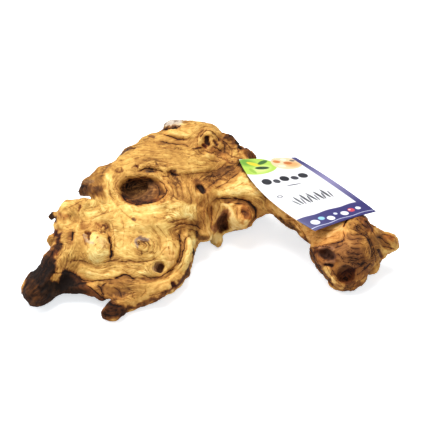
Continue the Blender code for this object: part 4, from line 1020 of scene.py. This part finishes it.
# %% Paint the great knot
knot_away = oval(crack_column, crack_row, (143, 190.8), 23, 13.6, 4)
left_end = oval(crack_column, crack_row, (127, 190.5), 8, 8, 8)
top_edge, _, _ = beside(crack_column, crack_row, [(124, 188), (132, 182.5), (142, 180), (151, 183)])
slope = smooth_step(column, 149, 158)
inside = (1 - smooth_step(knot_away, 0.9, 1.0)) * shown
strands = np.array([noise.fractal((c / 7.5, r / 1.6, 3.1), 1.0, 2.0, 2)
                    for c, r in zip(crack_column, crack_row)])
knot_tone = 0.42 + (0.22 - 0.14 * slope) * strands
in_shade = 1 - smooth_step(oval(column, row, (134.5, 187.5), 16, 10.5, -8), 0.8, 1.15)
knot_tone = knot_tone + 0.10 * in_shade - 0.11 * (1 - in_shade) * (1 - slope)
knot_tone = knot_tone - 0.08 * (1 - smooth_step(left_end, 0.6, 1.1))
knot_tone = knot_tone - 0.10 * np.exp(-((top_edge / 2.4) ** 2))
tone = lay_on(tone, knot_tone, inside * 0.95)
red = lay_on(red, 0.1 + 0.1 * slope, inside * 0.8)
grey = lay_on(grey, 0.15 * (1 - slope), inside)
foot, _, _ = beside(crack_column, crack_row, [(123, 196), (128, 201), (138, 203), (150, 201.5), (158, 199)])
foot = np.exp(-((foot / 1.9) ** 2)) * shown
tone = lay_on(tone, 0.30, foot * 0.8)
red = lay_on(red, 0.7, foot * 0.7)
rim = np.exp(-(((knot_away - 1.09) / 0.07) ** 2)) * shown
tone = lay_on(tone, 0.60, rim * 0.8)
red = lay_on(red, 0.30, rim * 0.7)
print("great knot painted over", int((inside > 0.5).sum()), "vertices")

# %% [markdown]
# ## Dust, painted shade, streaks and specks on top
# The last washes follow the relief: cracks and pits turn dark, hollows a little darker with dust and
# painted shade, and ridges a little paler. Streaks along the grain then break up every flat stain, as
# early and late wood do.

# %% Finish the tone
busy = 1 - 0.6 * calm * shown
tone = tone + (0.06 * streak_wide + 0.07 * streak_fine) * busy + 0.07 * cloud(place, 13, 24, 3)
# Hollows get dust and painted shade, and ridges come out a little paler
hollow_dust_and_shade = np.clip(hollow_fine * 0.6, -0.10, 0.34)
tone = tone - hollow_dust_and_shade * (0.35 + 0.25 * hidden) - np.clip(hollow_wide * 0.07, -0.06, 0.20)
tone = tone - crack_dust * 0.13
for pit, mask in zip(PITS, pit_masks):
    tone = lay_on(tone, pit.tone, mask * 0.9)
    red = lay_on(red, pit.red, mask * 0.9)
    grey = lay_on(grey, pit.grey, mask * 0.9)
tone = tone - pores * (0.03 + 0.05 * hidden)
tone = np.clip(tone, 0, 1)
red = np.clip(red + 0.25 * crack_dust, 0, 1)


def keep(mesh, name, values):
    """Stores one number for each vertex, for the material to read."""
    layer = mesh.attributes.new(name, "FLOAT", "POINT")
    layer.data.foreach_set("value", values.astype(np.float32))


for layer_name, values in (("tone", tone), ("red", red), ("grey", np.clip(grey, 0, 1)), ("grain", grain),
                           ("crack_line", crack_line), ("crack_strength", crack_strength)):
    keep(skin, layer_name, values)
print("mean tone of the seen side:", round(float(tone[shown > 0.5].mean()), 2))

# %% [markdown]
# ## Small helpers for node trees
# A material is a tree of nodes joined by links. A few helpers keep the recipes short: they add a node
# and fill in its inputs, do one sum, mix two colours, and make or use a group with named inputs.

# %% Node helpers
def feed(tree, socket, value):
    """Links an output to the socket, or sets the socket to a plain value."""
    if isinstance(value, bpy.types.NodeSocket):
        tree.links.new(value, socket)
    else:
        socket.default_value = value


def add_node(tree, kind, settings=(), **inputs):
    """A node with its settings, and its inputs filled in with a value or linked to a socket."""
    made = tree.nodes.new(kind)
    for setting, value in dict(settings).items():
        setattr(made, setting, value)
    for name, value in inputs.items():
        key = int(name[1:]) if name[0] == "_" and name[1:].isdigit() else name.replace("_", " ")
        feed(tree, made.inputs[key], value)
    return made


def math_node(tree, operation, first, second=0.0, third=None):
    made = add_node(tree, "ShaderNodeMath", {"operation": operation}, _0=first, _1=second)
    if third is not None:
        feed(tree, made.inputs[2], third)
    return made.outputs[0]


def clamped(tree, value):
    """The value kept between 0 and 1."""
    return add_node(tree, "ShaderNodeClamp", Value=value).outputs[0]


def new_group(name, inputs, outputs):
    """An empty shader group. Inputs are (name, type, default) and outputs are (name, type)."""
    group = bpy.data.node_groups.new(name, "ShaderNodeTree")
    for socket_name, kind, default in inputs:
        socket = group.interface.new_socket(socket_name, in_out="INPUT", socket_type=kind)
        if default is not None:
            socket.default_value = default
    for socket_name, kind in outputs:
        group.interface.new_socket(socket_name, in_out="OUTPUT", socket_type=kind)
    return group, group.nodes.new("NodeGroupInput"), group.nodes.new("NodeGroupOutput")


def use_group(tree, group, **inputs):
    made = tree.nodes.new("ShaderNodeGroup")
    made.node_tree = group
    for name, value in inputs.items():
        feed(tree, made.inputs[name.replace("_", " ")], value)
    return made


def mixed(tree, share, first, second, blend="MIX"):
    """The colour between two colours."""
    made = tree.nodes.new("ShaderNodeMix")
    made.data_type = "RGBA"
    made.blend_type = blend
    for socket, value in ((made.inputs[0], share), (made.inputs[6], first), (made.inputs[7], second)):
        feed(tree, socket, value)
    return made.outputs[2]


def srgb(red_part, green_part, blue_part):
    """A colour given as it looks on a screen, 0 to 255, turned into the numbers that light needs."""
    parts = [c / 255 for c in (red_part, green_part, blue_part)]
    return (*[c / 12.92 if c <= 0.04045 else ((c + 0.055) / 1.055) ** 2.4 for c in parts], 1)


print("mid grey on a screen is", round(srgb(128, 128, 128)[0], 3), "in light")

# %% [markdown]
# ## Grain finer than the skin
# The skin's quads are about 1 mm wide, and real grain lines are a fifth of that. The material draws them
# from the same field that carved the skin: noise that changes quickly across the grain and slowly
# along it. Its values give soft streaks, and the places where it passes one half give dark threads as
# thin as a hair, like the late wood of each year. As a group it can be used twice, at two widths.

# %% Group: grain lines
def make_grain_group():
    group, given, result = new_group(
        "Grain lines",
        [("Field", "NodeSocketFloat", 0.0), ("Place", "NodeSocketVector", None),
         ("Lines per mm", "NodeSocketFloat", 1.0), ("Length", "NodeSocketFloat", 60.0),
         ("Contrast", "NodeSocketFloat", 1.0), ("Thinness", "NodeSocketFloat", 60.0)],
        [("Lines", "NodeSocketFloat"), ("Threads", "NodeSocketFloat")],
    )
    parts = add_node(group, "ShaderNodeSeparateXYZ", _0=given.outputs["Place"])
    across = math_node(group, "MULTIPLY", given.outputs["Field"], given.outputs["Lines per mm"])
    along = math_node(group, "MULTIPLY", parts.outputs[0], given.outputs["Length"])
    back = math_node(group, "ADD", parts.outputs[1], parts.outputs[2])
    back = math_node(group, "MULTIPLY", back, given.outputs["Length"])
    spot = add_node(group, "ShaderNodeCombineXYZ", _0=across, _1=along, _2=back)
    lines = add_node(group, "ShaderNodeTexNoise", Vector=spot.outputs[0], Scale=1.0,
                     Detail=3.0, Roughness=0.55)
    middle = math_node(group, "SUBTRACT", lines.outputs[0], 0.5)
    scaled = math_node(group, "MULTIPLY", middle, given.outputs["Contrast"])
    group.links.new(scaled, result.inputs["Lines"])
    off_line = math_node(group, "MULTIPLY", math_node(group, "ABSOLUTE", middle), given.outputs["Thinness"])
    thread = clamped(group, math_node(group, "SUBTRACT", 1.0, off_line))
    group.links.new(thread, result.inputs["Threads"])
    return group


grain_group = make_grain_group()
print("group made:", grain_group.name)

# %% [markdown]
# ## Mottling that every surface has
# No real surface has one even colour: handling, dust and fibres leave soft patches and small specks.
# The same group serves wood, card and floor, each with its own size and strength.

# %% Group: mottling
def make_mottle_group():
    group, given, result = new_group(
        "Mottling",
        [("Place", "NodeSocketVector", None), ("Patch size", "NodeSocketFloat", 80.0),
         ("Speck size", "NodeSocketFloat", 900.0)],
        [("Patches", "NodeSocketFloat"), ("Specks", "NodeSocketFloat")],
    )
    patch = add_node(group, "ShaderNodeTexNoise", Vector=given.outputs["Place"],
                     Scale=given.outputs["Patch size"], Detail=4.0, Roughness=0.6)
    speck = add_node(group, "ShaderNodeTexVoronoi", Vector=given.outputs["Place"],
                     Scale=given.outputs["Speck size"], Randomness=1.0)
    chance = add_node(group, "ShaderNodeSeparateColor", Color=speck.outputs["Color"]).outputs[0]
    size = math_node(group, "MULTIPLY_ADD", chance, 0.62, -0.28)
    inside_dot = math_node(group, "SUBTRACT", size, speck.outputs["Distance"])
    dots = clamped(group, math_node(group, "MULTIPLY", inside_dot, 9.0))
    group.links.new(math_node(group, "SUBTRACT", patch.outputs[0], 0.5), result.inputs["Patches"])
    group.links.new(dots, result.inputs["Specks"])
    return group


mottle_group = make_mottle_group()
print("group made:", mottle_group.name)

# %% [markdown]
# ## Hairline cracks
# The open core of a crack is much thinner than the skin's net. Each vertex therefore carries its signed
# distance from the nearest crack: minus on one side and plus on the other. Between two vertices the
# number passes through zero exactly on the crack, so the material can draw it as thin as it likes.

# %% Group: hairline crack
def make_crack_group():
    group, given, result = new_group(
        "Hairline crack",
        [("Line", "NodeSocketFloat", 4.0), ("Strength", "NodeSocketFloat", 0.0),
         ("Place", "NodeSocketVector", None)],
        [("Mask", "NodeSocketFloat")],
    )
    shake = add_node(group, "ShaderNodeTexNoise", Vector=given.outputs["Place"], Scale=700.0, Detail=2.0)
    moved = math_node(group, "ADD", given.outputs["Line"], math_node(group, "SUBTRACT", shake.outputs[0], 0.5))
    away = math_node(group, "ABSOLUTE", moved)
    wide = math_node(group, "MULTIPLY_ADD", given.outputs["Strength"], 0.55, 0.2)
    mask = math_node(group, "SUBTRACT", 1.0, math_node(group, "DIVIDE", away, wide))
    mask = clamped(group, math_node(group, "MULTIPLY", mask, 1.6))
    group.links.new(math_node(group, "MULTIPLY", mask, given.outputs["Strength"]), result.inputs["Mask"])
    return group


crack_group = make_crack_group()
print("group made:", crack_group.name)

# %% [markdown]
# ## The wood's material
# The tone from the paint runs through a colour ramp from near black to cream. Grain lines and mottling
# shift the tone before the ramp and not the colour after it, so dark lines in cream wood turn tan and
# not grey. Red and grey washes follow. Worn ridges are a little smoother than the dusty hollows.

# %% Material: stripped mopani
def read_layer(tree, name):
    made = tree.nodes.new("ShaderNodeAttribute")
    made.attribute_name = name
    return made.outputs["Fac"]


def make_wood_material():
    wood = bpy.data.materials.new("stripped_mopani")
    wood.use_nodes = True
    tree = wood.node_tree
    shader = tree.nodes["Principled BSDF"]
    spot = tree.nodes.new("ShaderNodeTexCoord").outputs["Object"]
    field = read_layer(tree, "grain")
    bold = use_group(tree, grain_group, Field=field, Place=spot, Lines_per_mm=0.45, Length=50.0,
                     Contrast=0.30, Thinness=30.0)
    hair = use_group(tree, grain_group, Field=field, Place=spot, Lines_per_mm=1.1, Length=90.0,
                     Contrast=0.55, Thinness=13.0)
    mottle = use_group(tree, mottle_group, Place=spot, Patch_size=260.0, Speck_size=420.0)
    crowd = add_node(tree, "ShaderNodeTexNoise", Vector=spot, Scale=55.0, Detail=2.0).outputs[0]
    crowd = add_node(tree, "ShaderNodeMapRange", _0=crowd, _1=0.44, _2=0.66).outputs[0]
    painted = read_layer(tree, "tone")
    lines = math_node(tree, "ADD", bold.outputs["Lines"], hair.outputs["Lines"])
    lines = math_node(tree, "MULTIPLY_ADD", mottle.outputs["Patches"], 0.62, lines)
    strength = math_node(tree, "MULTIPLY_ADD", painted, 0.8, 0.2)
    tone_now = math_node(tree, "MULTIPLY_ADD", lines, strength, painted)
    tone_now = math_node(tree, "MULTIPLY_ADD", mottle.outputs["Specks"], -0.16, tone_now)
    threads = math_node(tree, "MULTIPLY_ADD", bold.outputs["Threads"], 0.22, math_node(
        tree, "MULTIPLY", hair.outputs["Threads"], 0.24))
    threads = math_node(tree, "MULTIPLY", threads, crowd)
    tone_now = math_node(tree, "SUBTRACT", tone_now, threads)
    crack = use_group(tree, crack_group, Line=read_layer(tree, "crack_line"), Place=spot,
                      Strength=read_layer(tree, "crack_strength"))
    tone_now = math_node(tree, "MULTIPLY_ADD", crack.outputs["Mask"], -0.60, tone_now)
    ramp = add_node(tree, "ShaderNodeValToRGB", _0=tone_now)
    stops = ((0.0, (24, 14, 9)), (0.14, (56, 33, 16)), (0.32, (114, 73, 34)), (0.5, (168, 117, 54)),
             (0.66, (208, 159, 80)), (0.82, (235, 196, 110)), (1.0, (251, 227, 150)))
    bar = ramp.color_ramp
    bar.elements[0].position, bar.elements[0].color = stops[0][0], srgb(*stops[0][1])
    bar.elements[1].position, bar.elements[1].color = stops[-1][0], srgb(*stops[-1][1])
    for at, colour in stops[1:-1]:
        bar.elements.new(at).color = srgb(*colour)
    reddened = mixed(tree, 1.0, ramp.outputs[0], srgb(236, 150, 108), "MULTIPLY")
    colour = mixed(tree, read_layer(tree, "red"), ramp.outputs[0], reddened)
    brightness = add_node(tree, "ShaderNodeRGBToBW", _0=colour).outputs[0]
    pale = add_node(tree, "ShaderNodeCombineColor", _0=brightness, _1=brightness, _2=brightness).outputs[0]
    cool = mixed(tree, 1.0, pale, srgb(236, 228, 226), "MULTIPLY")
    colour = mixed(tree, math_node(tree, "MULTIPLY", read_layer(tree, "grey"), 0.85), colour, cool)
    tree.links.new(colour, shader.inputs["Base Color"])
    rough = add_node(tree, "ShaderNodeMapRange", _0=tone_now, _1=0.0, _2=1.0, _3=0.78, _4=0.56)
    tree.links.new(rough.outputs[0], shader.inputs["Roughness"])
    shader.inputs["Specular IOR Level"].default_value = 0.16
    height = math_node(tree, "MULTIPLY_ADD", bold.outputs["Lines"], 2.4, math_node(
        tree, "MULTIPLY", hair.outputs["Lines"], 1.6))
    height = math_node(tree, "MULTIPLY_ADD", mottle.outputs["Specks"], -0.5, height)
    height = math_node(tree, "SUBTRACT", height, threads)
    height = math_node(tree, "MULTIPLY_ADD", mottle.outputs["Patches"], 1.2, height)
    height = math_node(tree, "MULTIPLY_ADD", crack.outputs["Mask"], -1.0, height)
    bump = add_node(tree, "ShaderNodeBump", Height=height, Strength=0.8, Distance=0.0007)
    tree.links.new(bump.outputs[0], shader.inputs["Normal"])
    return wood


skin.name = "mopani_wood_skin"
skin.materials.clear()
skin.materials.append(make_wood_material())
skin.shade_smooth()
wood_piece = bpy.data.objects.new("driftwood_root", skin)
bpy.context.scene.collection.objects.link(wood_piece)
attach(wood_piece, "root")
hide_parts("mopani_wood")
print("wood in place:", len(skin.polygons), "faces")

# %% [markdown]
# ## The label
# A printed card lies across the arm and bends a little under its own weight. Its surface runs smoothly
# through nine places, three across and three along, the same that its solid has. A fine grid is bent
# through them and thickened, and a flat map of the card is kept so that the print bends with it.

# %% Label card
CARD_NET = [
    [(21.38, 46.29, 56.94), (44.49, 57.02, 50.94), (68.44, 67.78, 44.95)],
    [(41.84, 0.35, 52.39), (69.27, 13.14, 51.39), (96.99, 28.4, 48.39)],
    [(79.21, -38.87, 46.41), (103.99, -25.52, 47.4), (128.98, -8.17, 43.4)],
]
CARD_THICKNESS = 0.62


def through_three(first, middle, last, share):
    """The point at this share of the smooth curve through three points."""
    return (first * (2 * (share - 0.5) * (share - 1)) - middle * (4 * share * (share - 1))
            + last * (2 * share * (share - 0.5)))


def card_place(across, along):
    rows_of = [[Vector(p) for p in line] for line in CARD_NET]
    return through_three(*[through_three(*line, across) for line in rows_of], along)


def make_card():
    """The bent card with softened edges and a flat map named print."""
    bm = bmesh.new()
    bmesh.ops.create_grid(bm, x_segments=44, y_segments=80, size=0.5)
    flat_map = bm.loops.layers.uv.new("print")
    for face in bm.faces:
        for loop in face.loops:
            loop[flat_map].uv = (loop.vert.co.x + 0.5, loop.vert.co.y + 0.5)
    for vert in bm.verts:
        vert.co = card_place(vert.co.x + 0.5, 0.5 - vert.co.y) * MM
    mesh = bpy.data.meshes.new("label_card_sheet")
    bm.to_mesh(mesh)
    bm.free()
    return with_modifiers(
        mesh,
        ("SOLIDIFY", {"thickness": CARD_THICKNESS * MM, "offset": 0}),
        ("BEVEL", {"width": 0.16 * MM, "segments": 2, "limit_method": "ANGLE", "angle_limit": math.radians(60)}),
    )


card_mesh = make_card()
corner = [card_place(a, b) for a, b in ((0, 0), (1, 0), (0, 1), (1, 1))]
card_wide = ((corner[1] - corner[0]).length + (corner[3] - corner[2]).length) / 2
card_long = ((corner[2] - corner[0]).length + (corner[3] - corner[1]).length) / 2
print("card about", round(card_wide), "by", round(card_long), "mm,", len(card_mesh.polygons), "faces")

# %% [markdown]
# ## A plain print of its own
# The card is white with a violet-blue foot and edge, and bright colours at its head. The print here is a
# design of its own in such colours: leaves on green, pebbles on sand and in a row, a snail, a stand of
# reeds, and water with bubbles and a berry. Every shape is a mask made of a few sums on the flat map, so
# it stays sharp at any size.

# %% Group: soft-edged oval
def make_oval_group():
    group, given, result = new_group(
        "Oval spot",
        [("Map", "NodeSocketVector", None), ("Middle", "NodeSocketVector", None),
         ("Size", "NodeSocketVector", None), ("Turn", "NodeSocketFloat", 0.0),
         ("Softness", "NodeSocketFloat", 0.1)],
        [("Mask", "NodeSocketFloat"), ("Distance", "NodeSocketFloat")],
    )
    moved = add_node(group, "ShaderNodeVectorMath", {"operation": "SUBTRACT"},
                     _0=given.outputs["Map"], _1=given.outputs["Middle"])
    turned = add_node(group, "ShaderNodeVectorRotate", {"rotation_type": "Z_AXIS"},
                      Vector=moved.outputs[0], Angle=given.outputs["Turn"])
    shrunk = add_node(group, "ShaderNodeVectorMath", {"operation": "DIVIDE"},
                      _0=turned.outputs[0], _1=given.outputs["Size"])
    away = add_node(group, "ShaderNodeVectorMath", {"operation": "LENGTH"}, _0=shrunk.outputs[0])
    away = away.outputs["Value"]
    edge = math_node(group, "SUBTRACT", 1.0, away)
    soft = math_node(group, "DIVIDE", edge, given.outputs["Softness"])
    group.links.new(clamped(group, soft), result.inputs["Mask"])
    group.links.new(away, result.inputs["Distance"])
    return group


oval_group = make_oval_group()
print("group made:", oval_group.name)

# %% Material: printed card
# The print is drawn in millimetres from the card's lower left corner
PRINT_SIZE = (52.0, 100.0, 0.0)
EDGE_FROM = 47.1
WATER_UP_TO = 16.0

# A spot is an oval of one colour, with its middle, its half width and half height, and its turn in degrees
Spot = namedtuple("Spot", "name middle size turn colour soft", defaults=(0.12,))

SPOTS = [
    Spot("green field", (11, 89), (18, 12.5), 0, (176, 210, 84), 0.06),
    Spot("green field, deep side", (5, 95), (10, 7), 20, (112, 166, 62), 0.6),
    Spot("green field, light", (14, 84), (11, 6), -20, (214, 232, 140), 0.6),
    Spot("leaf, first", (10, 92), (6.4, 2.4), 34, (226, 206, 56), 0.2),
    Spot("leaf, second", (19, 93.6), (6.4, 2.4), -28, (66, 108, 50), 0.2),
    Spot("leaf, third", (15, 85.4), (6.4, 2.4), 6, (46, 74, 44), 0.2),
    Spot("leaf, fourth", (6, 82.6), (4.6, 1.8), 70, (150, 188, 74), 0.2),
    Spot("sand field", (37.5, 89.5), (12.5, 12), 0, (238, 208, 166), 0.07),
    Spot("sand field, warm side", (41, 86), (8, 7), -20, (226, 170, 106), 0.6),
    Spot("sand pebble, first", (31, 93), (3.4, 2.8), 12, (206, 128, 58), 0.2),
    Spot("sand pebble, second", (38.4, 96), (3.0, 2.4), -10, (250, 236, 208), 0.2),
    Spot("sand pebble, third", (38.6, 89), (3.8, 3.0), 6, (196, 112, 48), 0.2),
    Spot("sand pebble, fourth", (44.6, 93), (2.4, 2.2), -14, (120, 104, 92), 0.2),
    Spot("sand pebble, fifth", (31.6, 85), (3.2, 2.4), 20, (250, 232, 200), 0.2),
    Spot("pebble, first", (9.5, 66), (3.9, 4.4), 12, (46, 46, 52), 0.12),
    Spot("pebble, second", (16.6, 64.4), (2.7, 3.2), -10, (70, 70, 76), 0.14),
    Spot("pebble, third", (23.4, 66), (3.6, 4.2), 6, (40, 40, 46), 0.12),
    Spot("pebble, fourth", (30.6, 64.4), (2.9, 3.2), -14, (62, 62, 70), 0.14),
    Spot("pebble, fifth", (37.8, 65.6), (3.7, 4.3), 10, (46, 46, 52), 0.12),
    Spot("drop under the pebbles", (25, 55.5), (6.4, 0.9), 4, (104, 104, 110), 0.3),
    Spot("reed, first", (13, 33), (0.9, 5.0), -14, (120, 120, 126), 0.25),
    Spot("reed, second", (15.6, 35), (1.0, 6.8), -5, (90, 90, 96), 0.25),
    Spot("reed, third", (18.2, 33.4), (0.8, 5.4), 8, (130, 130, 136), 0.25),
    Spot("reed, fourth", (20.8, 35.4), (1.1, 7.4), -3, (70, 70, 76), 0.25),
    Spot("reed, fifth", (23.4, 33.6), (0.9, 5.8), 11, (96, 96, 102), 0.25),
    Spot("reed, sixth", (26, 35.4), (1.0, 7.2), -7, (76, 76, 82), 0.25),
    Spot("reed, seventh", (28.6, 33.2), (0.8, 5.2), 5, (120, 120, 126), 0.25),
    Spot("reed, eighth", (31.2, 35), (1.1, 7.0), -4, (66, 66, 72), 0.25),
    Spot("reed, ninth", (33.8, 33.4), (0.9, 5.4), 12, (100, 100, 106), 0.25),
    Spot("reed, tenth", (36.4, 35.4), (1.1, 7.4), -2, (70, 70, 76), 0.25),
    Spot("reed, eleventh", (39, 33.4), (0.8, 5.4), 7, (110, 110, 116), 0.25),
    Spot("snail, outer", (8, 45), (2.4, 2.0), 0, (130, 130, 136), 0.2),
    Spot("snail, inner", (8, 45), (1.3, 1.0), 0, (240, 240, 244), 0.3),
]

BUBBLES = [
    Spot("bubble, first", (7.5, 7.6), (3.2, 3.0), 0, (240, 243, 252), 0.12),
    Spot("bubble, second", (14, 9.4), (2.3, 2.2), 0, (150, 206, 236), 0.16),
    Spot("bubble, third", (19.4, 6.6), (2.8, 2.7), 0, (244, 246, 253), 0.12),
    Spot("bubble, fourth", (25.5, 9.6), (1.5, 1.5), 0, (210, 216, 240), 0.2),
    Spot("bubble, fifth", (31, 7.2), (2.9, 2.7), 0, (244, 246, 253), 0.12),
    Spot("berry", (37.6, 8.6), (2.6, 2.5), 0, (206, 78, 92), 0.15),
    Spot("berry, light", (36.8, 9.4), (1.0, 0.9), 0, (248, 214, 218), 0.3),
    Spot("bubble, sixth", (43.4, 8.8), (2.1, 2.0), 0, (240, 243, 252), 0.15),
]


def printed(tree, colour, spots, in_mm):
    """The colour with each spot laid over it."""
    for spot in spots:
        made = use_group(tree, oval_group, Map=in_mm, Middle=(*spot.middle, 0), Size=(*spot.size, 1),
                         Turn=math.radians(spot.turn), Softness=spot.soft)
        colour = mixed(tree, made.outputs["Mask"], colour, srgb(*spot.colour))
    return colour


def make_card_material():
    card = bpy.data.materials.new("printed_card")
    card.use_nodes = True
    tree = card.node_tree
    shader = tree.nodes["Principled BSDF"]
    flat = add_node(tree, "ShaderNodeUVMap", {"uv_map": "print"}).outputs[0]
    in_mm = add_node(tree, "ShaderNodeVectorMath", {"operation": "MULTIPLY"}, _0=flat, _1=PRINT_SIZE)
    in_mm = in_mm.outputs[0]
    parts = add_node(tree, "ShaderNodeSeparateXYZ", _0=in_mm)
    across, up = parts.outputs[0], parts.outputs[1]
    spot = tree.nodes.new("ShaderNodeTexCoord").outputs["Object"]
    mottle = use_group(tree, mottle_group, Place=spot, Patch_size=45.0, Speck_size=1400.0)
    cloudy = math_node(tree, "MULTIPLY_ADD", mottle.outputs["Patches"], 0.5, 0.35)
    white = mixed(tree, cloudy, srgb(247, 247, 249), srgb(236, 237, 242))
    colour = printed(tree, white, SPOTS, in_mm)
    wave = math_node(tree, "SINE", math_node(tree, "MULTIPLY", across, 0.33))
    shore = math_node(tree, "MULTIPLY_ADD", wave, 0.4, WATER_UP_TO)
    below_shore = math_node(tree, "SUBTRACT", shore, up)
    water = clamped(tree, math_node(tree, "MULTIPLY", below_shore, 3.0))
    past_edge = math_node(tree, "SUBTRACT", across, EDGE_FROM)
    edge = clamped(tree, math_node(tree, "MULTIPLY", past_edge, 3.0))
    # The blue turns paler towards the card's middle: a painted glare of the lamps on the card
    from_middle = math_node(tree, "ABSOLUTE", math_node(tree, "SUBTRACT", up, 52.0))
    painted_glare = add_node(tree, "ShaderNodeMapRange", _0=from_middle, _1=38.0, _2=4.0)
    blue = mixed(tree, painted_glare.outputs[0], srgb(58, 54, 112), srgb(138, 132, 172))
    colour = mixed(tree, edge, colour, blue)
    colour = mixed(tree, water, colour, blue)
    foam_line = math_node(tree, "SUBTRACT", shore, 13.4)
    off_foam = math_node(tree, "ABSOLUTE", math_node(tree, "SUBTRACT", up, foam_line))
    foam = clamped(tree, math_node(tree, "MULTIPLY", math_node(tree, "SUBTRACT", 0.35, off_foam), 5.0))
    colour = mixed(tree, math_node(tree, "MULTIPLY", foam, water), colour, srgb(206, 210, 236))
    colour = printed(tree, colour, BUBBLES, in_mm)
    tree.links.new(colour, shader.inputs["Base Color"])
    rough = math_node(tree, "MULTIPLY_ADD", mottle.outputs["Patches"], 0.12, 0.34)
    tree.links.new(rough, shader.inputs["Roughness"])
    shader.inputs["Specular IOR Level"].default_value = 0.45
    bump = add_node(tree, "ShaderNodeBump", Height=mottle.outputs["Patches"], Strength=0.15, Distance=0.0003)
    tree.links.new(bump.outputs[0], shader.inputs["Normal"])
    return card


card_mesh.materials.clear()
card_mesh.materials.append(make_card_material())
card_mesh.shade_smooth()
card_mesh.set_sharp_from_angle(angle=math.radians(35))
card_piece = bpy.data.objects.new("paper_label", card_mesh)
bpy.context.scene.collection.objects.link(card_piece)
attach(card_piece, "root")
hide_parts("label_card")
print("label in place with", len(SPOTS) + len(BUBBLES), "printed spots")

# %% [markdown]
# ## A white studio
# The piece lies on a plain white table under large soft lamps, so shadows are short and pale and the
# table runs out to pure white. One big lamp overhead does most of it. A weaker one in front keeps the
# hollows open, and a low one at the left brings out the relief, because raking light shows carving best.
# To the camera the table glows a little and the air is white, as on an overexposed backdrop. Only the
# camera sees that, so it doesn't wash out the wood's own shading.

# %% Table, lamps and air
def make_table():
    bm = bmesh.new()
    bmesh.ops.create_grid(bm, x_segments=8, y_segments=8, size=4)
    mesh = bpy.data.meshes.new("studio_table")
    bm.to_mesh(mesh)
    bm.free()
    table = bpy.data.objects.new("studio_table", mesh)
    bpy.context.scene.collection.objects.link(table)
    white = bpy.data.materials.new("white_table")
    white.use_nodes = True
    tree = white.node_tree
    spot = tree.nodes.new("ShaderNodeTexCoord").outputs["Object"]
    mottle = use_group(tree, mottle_group, Place=spot, Patch_size=3.0, Speck_size=200.0)
    share = math_node(tree, "MULTIPLY_ADD", mottle.outputs["Patches"], 0.4, 0.5)
    colour = mixed(tree, share, srgb(236, 236, 238), srgb(232, 233, 236))
    shader = tree.nodes["Principled BSDF"]
    tree.links.new(colour, shader.inputs["Base Color"])
    shader.inputs["Roughness"].default_value = 0.6
    shader.inputs["Specular IOR Level"].default_value = 0.2
    glow = add_node(tree, "ShaderNodeEmission", Color=(0.95, 0.98, 1, 1), Strength=0.66)
    both = add_node(tree, "ShaderNodeAddShader", _0=shader.outputs[0], _1=glow.outputs[0])
    looked_at = tree.nodes.new("ShaderNodeLightPath").outputs["Is Camera Ray"]
    seen = add_node(tree, "ShaderNodeMixShader", _0=looked_at, _1=shader.outputs[0], _2=both.outputs[0])
    tree.links.new(seen.outputs[0], tree.nodes["Material Output"].inputs[0])
    mesh.materials.append(white)
    return table


def make_lamp(name, where, size, power, colour=(1, 1, 1)):
    """A square soft lamp that looks at the wood."""
    lamp = bpy.data.objects.new(name, bpy.data.lights.new(name, "AREA"))
    lamp.data.size = size
    lamp.data.energy = power
    lamp.data.color = colour
    lamp.location = where
    lamp.rotation_mode = "QUATERNION"
    lamp.rotation_quaternion = (Vector((0, 0, 0.03)) - Vector(where)).to_track_quat("-Z", "Y")
    bpy.context.scene.collection.objects.link(lamp)
    return lamp


make_table()
make_lamp("lamp_overhead", (-0.2, 0.3, 1.5), 1.1, 26.5)
make_lamp("lamp_front", (0.4, -1.6, 1.3), 1.2, 9)
make_lamp("lamp_left", (-1.3, 0.2, 0.9), 0.7, 9)
air = bpy.data.worlds.new("studio_air")
bpy.context.scene.world = air
air.use_nodes = True
soft_air = air.node_tree.nodes["Background"]
soft_air.inputs[0].default_value = (1, 1, 1, 1)
soft_air.inputs[1].default_value = 0.28
white_air = add_node(air.node_tree, "ShaderNodeBackground", Color=(1, 1, 1, 1), Strength=1.0)
looked_at = air.node_tree.nodes.new("ShaderNodeLightPath").outputs["Is Camera Ray"]
seen_air = add_node(air.node_tree, "ShaderNodeMixShader",
                    _0=looked_at, _1=soft_air.outputs[0], _2=white_air.outputs[0])
air.node_tree.links.new(seen_air.outputs[0], air.node_tree.nodes["World Output"].inputs["Surface"])
bpy.context.scene.view_settings.view_transform = "Standard"
bpy.context.scene.view_settings.look = "None"
